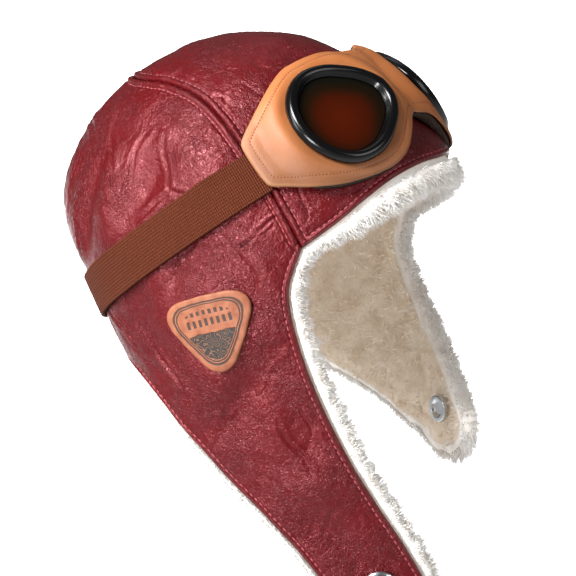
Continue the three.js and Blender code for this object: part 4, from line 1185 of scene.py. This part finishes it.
def rim_piece(word, hand):
    bpy.ops.object.select_all(action="DESELECT")
    bpy.ops.mesh.primitive_circle_add(vertices=len(RIM_SECTION), radius=1, location=(0, 0, 0))
    piece = bpy.context.active_object
    piece.name = piece.data.name = f"goggle_rim_{word}"
    for corner, (inset, height) in zip(piece.data.vertices, RIM_SECTION):
        corner.co = (RIM_RADIUS - inset * RIM_WIDTH, 0, height * RIM_HEIGHT)
    bpy.ops.object.mode_set(mode="EDIT")
    bpy.ops.mesh.select_all(action="SELECT")
    bpy.ops.mesh.spin(steps=96, angle=2 * math.pi, center=(0, 0, 0), axis=(0, 0, 1))
    bpy.ops.mesh.select_all(action="SELECT")
    bpy.ops.mesh.remove_doubles(threshold=0.01)
    bpy.ops.mesh.normals_make_consistent(inside=False)
    bpy.ops.object.mode_set(mode="OBJECT")
    p = np.array([v.co for v in piece.data.vertices])
    angle = np.degrees(np.arctan2(p[:, 1], p[:, 0]))
    reach = np.hypot(p[:, 0], p[:, 1]) - RIM_RADIUS + rim_reach(angle)
    shaped = to_row(in_lens_plane(LENS[hand], angle, reach, MASK_OVER + SEAT_GAP + p[:, 2]))
    piece.data.vertices.foreach_set("co", shaped.reshape(-1))
    piece.data.update()
    face_out(piece)
    smooth = piece.modifiers.new("rounding", "SUBSURF")
    smooth.levels = smooth.render_levels = 1
    select_only(piece)
    bpy.ops.object.modifier_apply(modifier=smooth.name)
    piece.data.materials.append(rim_material)
    piece.data.polygons.foreach_set("use_smooth", [True] * len(piece.data.polygons))
    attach(piece, "root")
    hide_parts(f"lens_rim_{word}")
    print(piece.name, "triangles:", triangles(piece))
    return piece


for word, hand in HANDS.items():
    rim_piece(word, hand)

# %% [markdown]
# The lenses are moulded acrylic, smoked amber. Their tone is painted light: an orange glow a little off
# centre stands in for light through the lens, and the near black by the rim is painted shade. A filled circle
# is extruded and inset in steps, so that its face can be domed, and a map seen face on carries the tone.

# %% Lenses
def lens_piece(word, hand):
    bpy.ops.object.select_all(action="DESELECT")
    bpy.ops.mesh.primitive_circle_add(vertices=96, radius=1, fill_type="NGON", location=(0, 0, 0))
    piece = bpy.context.active_object
    piece.name = piece.data.name = f"goggle_lens_{word}"
    bpy.ops.object.mode_set(mode="EDIT")
    bpy.ops.mesh.select_all(action="SELECT")
    bpy.ops.mesh.extrude_region_move(TRANSFORM_OT_translate={"value": (0, 0, 1)})
    for _ in range(6):
        bpy.ops.mesh.inset(thickness=0.15)
    bpy.ops.mesh.select_all(action="SELECT")
    bpy.ops.mesh.normals_make_consistent(inside=False)
    bpy.ops.object.mode_set(mode="OBJECT")
    p = np.array([v.co for v in piece.data.vertices])
    share = np.hypot(p[:, 0], p[:, 1])
    angle = np.degrees(np.arctan2(p[:, 1], p[:, 0]))
    height = np.where(p[:, 2] > 0.5, 2.0 + 1.2 * (1 - share ** 2), 0.0)
    reach = share * (rim_reach(angle) - RIM_WIDTH - 0.2)
    shaped = to_row(in_lens_plane(LENS[hand], angle, reach, MASK_OVER + SEAT_GAP + height))
    piece.data.vertices.foreach_set("co", shaped.reshape(-1))
    lay_uv(piece, "face_on", 0.5 + 0.5 * p[:, 0], 0.5 + 0.5 * p[:, 1])
    piece.data.update()
    face_out(piece)
    piece.data.materials.append(lens_material)
    select_only(piece)
    bpy.ops.object.shade_smooth_by_angle(angle=math.radians(40))
    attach(piece, "root")
    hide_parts(f"lens_{word}")
    print(piece.name, "triangles:", triangles(piece))
    return piece


for word, hand in HANDS.items():
    lens_piece(word, hand)

# %% [markdown]
# ## The strap
# Knitted elastic, 22 mm wide: rubber threads covered in yarn run lengthwise as fine ribs,
# which are real ridges here. It keeps to a plane that slopes down from goggles to back.

# %% Ribbed elastic
def ribbed_elastic():
    material, tree = new_material("brown_ribbed_elastic")
    where = add_node(tree, "ShaderNodeUVMap").outputs[0]
    split = add_node(tree, "ShaderNodeSeparateXYZ", {"Vector": where})
    # the map is in millimetres: U along the strap, V across it; a knitted row every 1.1 mm
    rows = figure(tree, "MULTIPLY", split.outputs["X"], 2 * math.pi / 1.1)
    rows = figure(tree, "SINE", rows)
    ribs = figure(tree, "MULTIPLY", split.outputs["Y"], 2 * math.pi * 15 / 22)
    ribs = figure(tree, "COSINE", ribs)
    yarn = add_node(tree, "ShaderNodeTexNoise", {"Vector": where, "Scale": 1.6, "Detail": 3.0})
    # painted shade and light: the rib tops are coloured lighter and the hollows between them darker, on top
    # of the real ridges
    raised = mapped(tree, ribs, -1.0, 0.4)
    tone = blend_colour(tree, raised, linear("#461d0b"), linear("#612c18"))
    worn = mapped(tree, yarn.outputs["Fac"], 0.35, 0.75, 0.0, 0.4)
    tone = blend_colour(tree, worn, tone, linear("#4a2110"))
    height = figure(tree, "MULTIPLY_ADD", rows, 0.6, yarn.outputs["Fac"])
    bump = add_node(tree, "ShaderNodeBump", {"Strength": 0.9, "Distance": 0.0006, "Height": height})
    finish_material(tree, add_node(tree, "ShaderNodeBsdfPrincipled", {
        "Base Color": tone, "Roughness": 0.8, "Normal": bump.outputs["Normal"], "Specular IOR Level": 0.15,
    }))
    return material


elastic_material = ribbed_elastic()
STRAP_WIDTH, STRAP_WALL, STRAP_LEVEL, STRAP_SLOPE, STRAP_LIFT = 22.0, 1.8, 25.0, 0.695, 1.0
mask_end = on_chart(MASK_HALF_SPAN, 0.0)
STRAP_START = math.degrees(math.atan2(-mask_end[0], -mask_end[1])) + 1.3


def strap_line(turn_deg):
    height = np.full_like(turn_deg, STRAP_LEVEL)
    for _ in range(12):
        height = STRAP_LEVEL - STRAP_SLOPE * place(turn_deg, height)[..., 1]
    return place(turn_deg, height)


def strap_piece():
    turns = np.linspace(STRAP_START, 360 - STRAP_START, 361)
    middle = strap_line(turns)
    run = unit(strap_line(turns + 1) - strap_line(turns - 1))
    across = unit(np.cross(outward(middle), run))
    length = np.concatenate([[0], np.cumsum(np.linalg.norm(np.diff(middle, axis=0), axis=1))])
    top = np.linspace(0.5, -0.5, 91)
    under = np.linspace(-0.5, 0.5, 9)
    share = np.concatenate([top, under])
    rib = 0.1 * np.cos(2 * math.pi * 15 * top)
    edge_round = 0.5 * (1 - np.sqrt(np.clip(1 - (np.clip(np.abs(top) - 0.455, 0, 1) / 0.046) ** 2, 0, 1)))
    lift = np.concatenate([STRAP_LIFT + STRAP_WALL - 0.15 + rib - edge_round, np.full(9, STRAP_LIFT - 0.2)])
    guide = middle[:, None] + across[:, None] * (share * STRAP_WIDTH)[None, :, None]
    p = onto_form(guide)
    bridged = np.maximum(fold_lift(p), 0.35 * fold_lift(p))
    slack = bridged + lift[None]
    surface = to_row(p + outward(p) * slack[..., None])
    rows, columns = surface.shape[:2]
    faces = [tuple(f) for f in grid_faces(rows, columns, closed=True)]
    for end in (0, rows - 1):
        ring = [end * columns + k for k in range(columns)]
        faces.append(tuple(ring if end else ring[::-1]))
    piece = mesh_piece("elastic_strap", surface.reshape(-1, 3), faces, elastic_material, merge=0)
    lay_uv(piece, "millimetres", np.repeat(length, columns), np.tile(share * STRAP_WIDTH, rows))
    face_out(piece)
    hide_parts("goggle_strap")
    print("strap length, mm:", round(length[-1], 1), "triangles:", triangles(piece))
    return piece


strap_piece()

# %% [markdown]
# ## The patch
# A small triangle of the same tan leather, die-cut and debossed: a double border line, a dark
# stained field with plain contour lines below, and two rows of plain bars above.

# %% Patch
PATCH_WIDTH, PATCH_DEPTH, PATCH_TURN, PATCH_HEIGHT, PATCH_LEAN = 41.0, 36.5, 84.5, -29.0, math.radians(17)


def patch_outline(share):
    angle = 2 * math.pi * share
    lobes = 1 + 0.17 * np.cos(3 * (angle + math.pi / 2)) + 0.03 * np.cos(6 * (angle + math.pi / 2))
    return PATCH_WIDTH / 2 * lobes * np.cos(angle), PATCH_DEPTH / 2 * lobes * np.sin(angle)


def debossed_patch():
    material, tree = new_material("debossed_tan_patch")
    where = add_node(tree, "ShaderNodeUVMap", uv_map="share").outputs[0]
    split = add_node(tree, "ShaderNodeSeparateXYZ", {"Vector": where})
    rim = split.outputs["X"]
    object_at = add_node(tree, "ShaderNodeTexCoord").outputs["Object"]
    cloud = add_node(tree, "ShaderNodeTexNoise", {"Vector": object_at, "Scale": 220.0, "Detail": 5.0})
    rough_edge = figure(tree, "MULTIPLY_ADD", cloud.outputs["Fac"], 0.05, -0.025)
    moved = figure(tree, "ADD", rim, rough_edge)

    def band(value, low, high, soft):
        rise = mapped(tree, value, low - soft, low, curve="SMOOTHSTEP")
        fall = mapped(tree, value, high, high + soft, 1.0, 0.0, curve="SMOOTHSTEP")
        return figure(tree, "MULTIPLY", rise, fall)

    def either(a, b):
        return figure(tree, "MAXIMUM", a, b)

    border = either(band(moved, 0.735, 0.755, 0.012), band(moved, 0.795, 0.83, 0.015))
    inside = band(moved, -1.0, 0.7, 0.02)
    height_in = figure(tree, "ADD", split.outputs["Y"], rough_edge)
    low_field = figure(tree, "MULTIPLY", band(height_in, -2.0, 0.55, 0.012), inside)
    contour = add_node(tree, "ShaderNodeTexNoise", {"Vector": object_at, "Scale": 160.0, "Detail": 1.0})
    lines = figure(tree, "MULTIPLY", contour.outputs["Fac"], 75.0)
    lines = figure(tree, "SINE", lines)
    lines = mapped(tree, lines, 0.72, 0.95)
    rules = either(band(height_in, 0.66, 0.74, 0.012), band(height_in, 0.81, 0.89, 0.012))
    flat = add_node(tree, "ShaderNodeUVMap", uv_map="flat").outputs[0]
    across = add_node(tree, "ShaderNodeSeparateXYZ", {"Vector": flat}).outputs["X"]
    bars = figure(tree, "MULTIPLY_ADD", across, 2 * math.pi * 13, 0.9)
    bars = figure(tree, "SINE", bars)
    bars = mapped(tree, bars, -0.1, 0.2)
    well_inside = band(moved, -1.0, 0.56, 0.02)
    rules = figure(tree, "MULTIPLY", rules, well_inside)
    rules = figure(tree, "MULTIPLY", rules, bars)
    tone = set_ramp(add_node(tree, "ShaderNodeValToRGB", {"Fac": cloud.outputs["Fac"]}), [
        (0.3, linear("#7c4328")), (0.7, linear("#975e43"))])
    dark = blend_colour(tree, lines, linear("#26221f"), linear("#6e4a35"))
    colour = blend_colour(tree, low_field, tone.outputs["Color"], dark)
    pressed = either(border, rules)
    colour = blend_colour(tree, pressed, colour, linear("#3a2a24"))
    sunk = either(pressed, low_field)
    height = figure(tree, "MULTIPLY_ADD", sunk, -1.0, cloud.outputs["Fac"])
    bump = add_node(tree, "ShaderNodeBump", {"Strength": 0.6, "Distance": 0.0005, "Height": height})
    finish_material(tree, add_node(tree, "ShaderNodeBsdfPrincipled", {
        "Base Color": colour, "Roughness": 0.6, "Normal": bump.outputs["Normal"], "Specular IOR Level": 0.35,
    }))
    return material


def patch_piece():
    sides, rings = 120, 26
    x, y = patch_outline(np.arange(sides) / sides)
    share = np.linspace(0, 1, rings)
    share = 1 - (1 - share) ** 1.4
    from_rim = (1 - share) * 16
    raised = 0.35 + 1.5 - 0.75 * (1 - np.sqrt(1 - (1 - np.clip(from_rim / 1.1, 0, 1)) ** 2))
    lean_x = x * math.cos(PATCH_LEAN) - y * math.sin(PATCH_LEAN)
    lean_y = x * math.sin(PATCH_LEAN) + y * math.cos(PATCH_LEAN)
    radius = np.hypot(*place(PATCH_TURN, PATCH_HEIGHT)[:2])

    def ring(scale, lift):
        at = place(PATCH_TURN - np.degrees(scale * lean_x / radius), PATCH_HEIGHT + scale * lean_y)
        return on_leather(at, np.full(sides, lift))
    rows = [ring(s, 0.1) for s in (0.02, 0.5, 1.0)]
    rows += [ring(s, r) for s, r in zip(share[::-1], raised[::-1])][:-1]
    surface = to_row(np.stack(rows))
    faces = [tuple(f) for f in grid_faces(len(rows), sides, closed=True)]
    faces.append(tuple(range(sides))[::-1])
    faces.append(tuple((len(rows) - 1) * sides + k for k in range(sides)))
    piece = mesh_piece("flap_patch_leather", surface.reshape(-1, 3), faces, debossed_patch(),
                       merge=0)
    scales = np.concatenate([[0.02, 0.5, 1.0], share[::-1][:-1]])
    up_patch = (np.outer(scales, y) / PATCH_DEPTH + 0.62).reshape(-1)
    lay_uv(piece, "share", np.repeat(scales, sides), up_patch)
    lay_uv(piece, "flat", (np.outer(scales, x) / PATCH_WIDTH + 0.5).reshape(-1), up_patch)
    face_out(piece)
    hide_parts("flap_patch")
    print("patch triangles:", triangles(piece))
    return piece


patch_piece()

# %% [markdown]
# ## Snaps
# Each flap has a snap: a domed nickel cap outside and a ring socket inside. Both start as a
# cylinder whose top face is inset and moved in steps, and whose edges are then bevelled.

# %% Nickel
def nickel():
    material, tree = new_material("polished_nickel_plate")
    where = add_node(tree, "ShaderNodeTexCoord").outputs["Object"]
    scuffs = add_node(tree, "ShaderNodeTexNoise", {"Vector": where, "Scale": 500.0, "Detail": 4.0})
    gloss = mapped(tree, scuffs.outputs["Fac"], 0.3, 0.7, 0.16, 0.3)
    finish_material(tree, add_node(tree, "ShaderNodeBsdfPrincipled", {
        "Base Color": linear("#c9ccd0"), "Metallic": 1.0, "Roughness": gloss,
    }))
    return material


nickel_material = nickel()
SNAP_RADIUS, SOCKET_RADIUS = 9.0, 7.0


def snap_piece(name, node, hand, lift, facing, radius, steps):
    """A disc turned from a cylinder; steps are (inset, move) in millimetres on its top face."""
    bpy.ops.object.select_all(action="DESELECT")
    first = steps[0][1]
    bpy.ops.mesh.primitive_cylinder_add(vertices=64, radius=radius, depth=first, location=(0, 0, first / 2))
    piece = bpy.context.active_object
    piece.name = piece.data.name = name
    bpy.ops.object.transform_apply(location=True)
    bpy.ops.object.mode_set(mode="EDIT")
    bpy.ops.mesh.select_all(action="DESELECT")
    bpy.ops.object.mode_set(mode="OBJECT")
    for face in piece.data.polygons:
        face.select = face.normal.z > 0.9
    bpy.ops.object.mode_set(mode="EDIT")
    bpy.context.tool_settings.mesh_select_mode = (False, False, True)
    for inset, move in steps[1:]:
        bpy.ops.mesh.inset(thickness=inset)
        bpy.ops.transform.translate(value=(0, 0, move))
    bpy.ops.object.mode_set(mode="OBJECT")
    soft = piece.modifiers.new("soft_edges", "BEVEL")
    soft.width, soft.segments, soft.limit_method, soft.angle_limit = 0.25, 3, "ANGLE", math.radians(30)
    select_only(piece)
    bpy.ops.object.modifier_apply(modifier=soft.name)
    turn_at, height = EDGES[hand]["snap"]
    guide = place(hand * turn_at, height)
    base = on_leather(guide, np.array(lift))
    up = outward(guide) * facing
    side = unit(np.cross([0, 0, 1], up))
    other = np.cross(up, side)
    local = np.array([v.co for v in piece.data.vertices])
    seated = to_row(base + local[:, :1] * side + local[:, 1:2] * other + local[:, 2:] * up)
    piece.data.vertices.foreach_set("co", seated.reshape(-1))
    piece.data.update()
    face_out(piece)
    piece.data.materials.append(nickel_material)
    bpy.ops.object.shade_smooth_by_angle(angle=math.radians(35))
    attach(piece, "root")
    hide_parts(node)
    print(name, "triangles:", triangles(piece))
    return piece


for word, hand in HANDS.items():
    snap_piece(f"snap_cap_{word}_nickel", f"snap_cap_{word}", hand, 0.1, 1, SNAP_RADIUS,
               [(0, 1.2), (0.9, 0.9), (1.2, 0.45), (2.2, 0.3), (2.2, 0.1)])
    snap_piece(f"snap_socket_{word}_nickel", f"snap_socket_{word}", hand, -SHELL_WALL - 1.0, -1,
               SOCKET_RADIUS, [(0, 2.1), (0.7, 0.35), (1.6, 0), (0.6, -0.7), (0.6, -0.6), (1.2, 0)])

# %% [markdown]
# ## Stitching
# Lockstitch shows as short sunk dashes. One stitch is modelled as a small sphere drawn out to
# a grain, and copied along each line of the pattern, turned to the line and to the surface.

# %% One stitch, and how it is laid along a line
def thread_material(name, swatch):
    material, tree = new_material(name)
    where = add_node(tree, "ShaderNodeTexCoord").outputs["Object"]
    twist = add_node(tree, "ShaderNodeTexNoise", {"Vector": where, "Scale": 2500.0, "Detail": 2.0})
    bump = add_node(tree, "ShaderNodeBump", {
        "Strength": 0.4, "Distance": 0.0002, "Height": twist.outputs["Fac"]})
    finish_material(tree, add_node(tree, "ShaderNodeBsdfPrincipled", {
        "Base Color": linear(swatch), "Roughness": 0.6, "Normal": bump.outputs["Normal"], "Sheen Weight": 0.1,
    }))
    return material


bpy.ops.object.select_all(action="DESELECT")
bpy.ops.mesh.primitive_uv_sphere_add(segments=8, ring_count=6, radius=0.5, location=(0, 0, 0))
model_stitch = bpy.context.active_object
stitch_points = np.array([v.co for v in model_stitch.data.vertices])
stitch_faces = [list(f.vertices) for f in model_stitch.data.polygons]
bpy.data.objects.remove(model_stitch)


def lay_stitches(name, lines, material, pitch=3.3, long=2.4, thick=0.75, tall=0.5):
    """lines: pairs of points on the surface and normals, in millimetres."""
    everything, faces, count = [], [], 0
    for line, normals in lines:
        gaps = np.linalg.norm(np.diff(line, axis=0), axis=1)
        run = np.concatenate([[0], np.cumsum(gaps)])
        at = np.arange(pitch / 2, run[-1], pitch)
        centre = np.stack([np.interp(at, run, line[:, k]) for k in range(3)], -1)
        ahead_of = np.stack([np.interp(at + 0.6, run, line[:, k]) - np.interp(at - 0.6, run, line[:, k])
                             for k in range(3)], -1)
        up = unit(np.stack([np.interp(at, run, normals[:, k]) for k in range(3)], -1))
        forward = unit(ahead_of - (ahead_of * up).sum(-1, keepdims=True) * up)
        side = np.cross(up, forward)
        for c, f, n, u in zip(centre, forward, side, up):
            everything.append(c + stitch_points[:, :1] * long * f + stitch_points[:, 1:2] * thick * n
                              + stitch_points[:, 2:] * tall * u)
            faces += [[i + count for i in face] for face in stitch_faces]
            count += len(stitch_points)
    piece = mesh_piece(name, to_row(np.vstack(everything)), faces, material, merge=0)
    print(name, "stitches:", count // len(stitch_points), "triangles:", triangles(piece))
    return piece


def beside(line, offset, lift=0.05):
    """A line moved sideways along the form, and set on the finished leather."""
    p = onto_form(line)
    normal = outward(p)
    along_it = unit(np.gradient(p, axis=0))
    guide = onto_form(p + np.cross(normal, along_it) * offset)
    on_top = leather_surface(guide, lift)
    return on_top, outward(guide)


# %% Topstitching on the leather
# painted highlight: the burgundy thread is coloured well lighter than the leather, standing in for the
# highlights the stitches catch
lightened_burgundy_thread = thread_material("burgundy_polyester_thread_painted_highlight", "#9a434a")
lines = []
for hand in (1, -1):
    whole = seam_line(hand, 300)
    lines += [beside(whole[4:-6], STITCH_IN), beside(whole[4:-6], -STITCH_IN)]
    edge_share = np.linspace(0.03, 1, 300)
    front_chart, rear_chart = EDGES[hand]["front"](edge_share), EDGES[hand]["rear"](np.linspace(0, 1, 300))
    around = np.vstack([place(hand * front_chart[:, 0], front_chart[:, 1]),
                        place(hand * rear_chart[1:, 0], rear_chart[1:, 1])])
    lines.append(beside(around, -HEM_IN * hand))
lines += [beside(back_seam_line[8:-4], STITCH_IN), beside(back_seam_line[8:-4], -STITCH_IN)]
lines.append(beside(brow_line(300)[6:-6], HEM_IN))
lay_stitches("leather_topstitching", lines, lightened_burgundy_thread)

# %% Topstitching on the mask
amber_thread = thread_material("orange_brown_waxed_thread", "#763a08")


def mask_stitch_lines():
    made = []
    for hand in (1, -1):
        outline = mask_outline(np.linspace(0, 1, 500))
        lens = LENS[hand]
        guide = onto_form(on_chart(hand * outline[:, 0], outline[:, 1]))
        normal = outward(guide)
        inwards = np.cross(normal, unit(np.gradient(guide, axis=0))) * hand
        if ((lens["centre"] - guide[250]) * inwards[250]).sum() < 0:
            inwards = -inwards
        moved = onto_form(guide + inwards * STITCH_LINE)
        near = tree_of(guide)
        keep = distance_to(near, moved) > STITCH_LINE * 0.93
        keep &= np.abs(moved[:, 0]) > 0.4
        moved = moved[keep]
        smoothed = np.stack([np.convolve(np.pad(moved[:, k], 4, mode="edge"), np.ones(9) / 9, "valid")
                             for k in range(3)], -1)
        lift = np.full(len(smoothed), MASK_OVER - 0.2)
        made.append((on_mask(smoothed, lift, lens), outward(onto_form(smoothed))))
    return made


lay_stitches("mask_topstitching", mask_stitch_lines(), amber_thread,
             pitch=1.65, long=1.1, thick=0.8, tall=0.5)
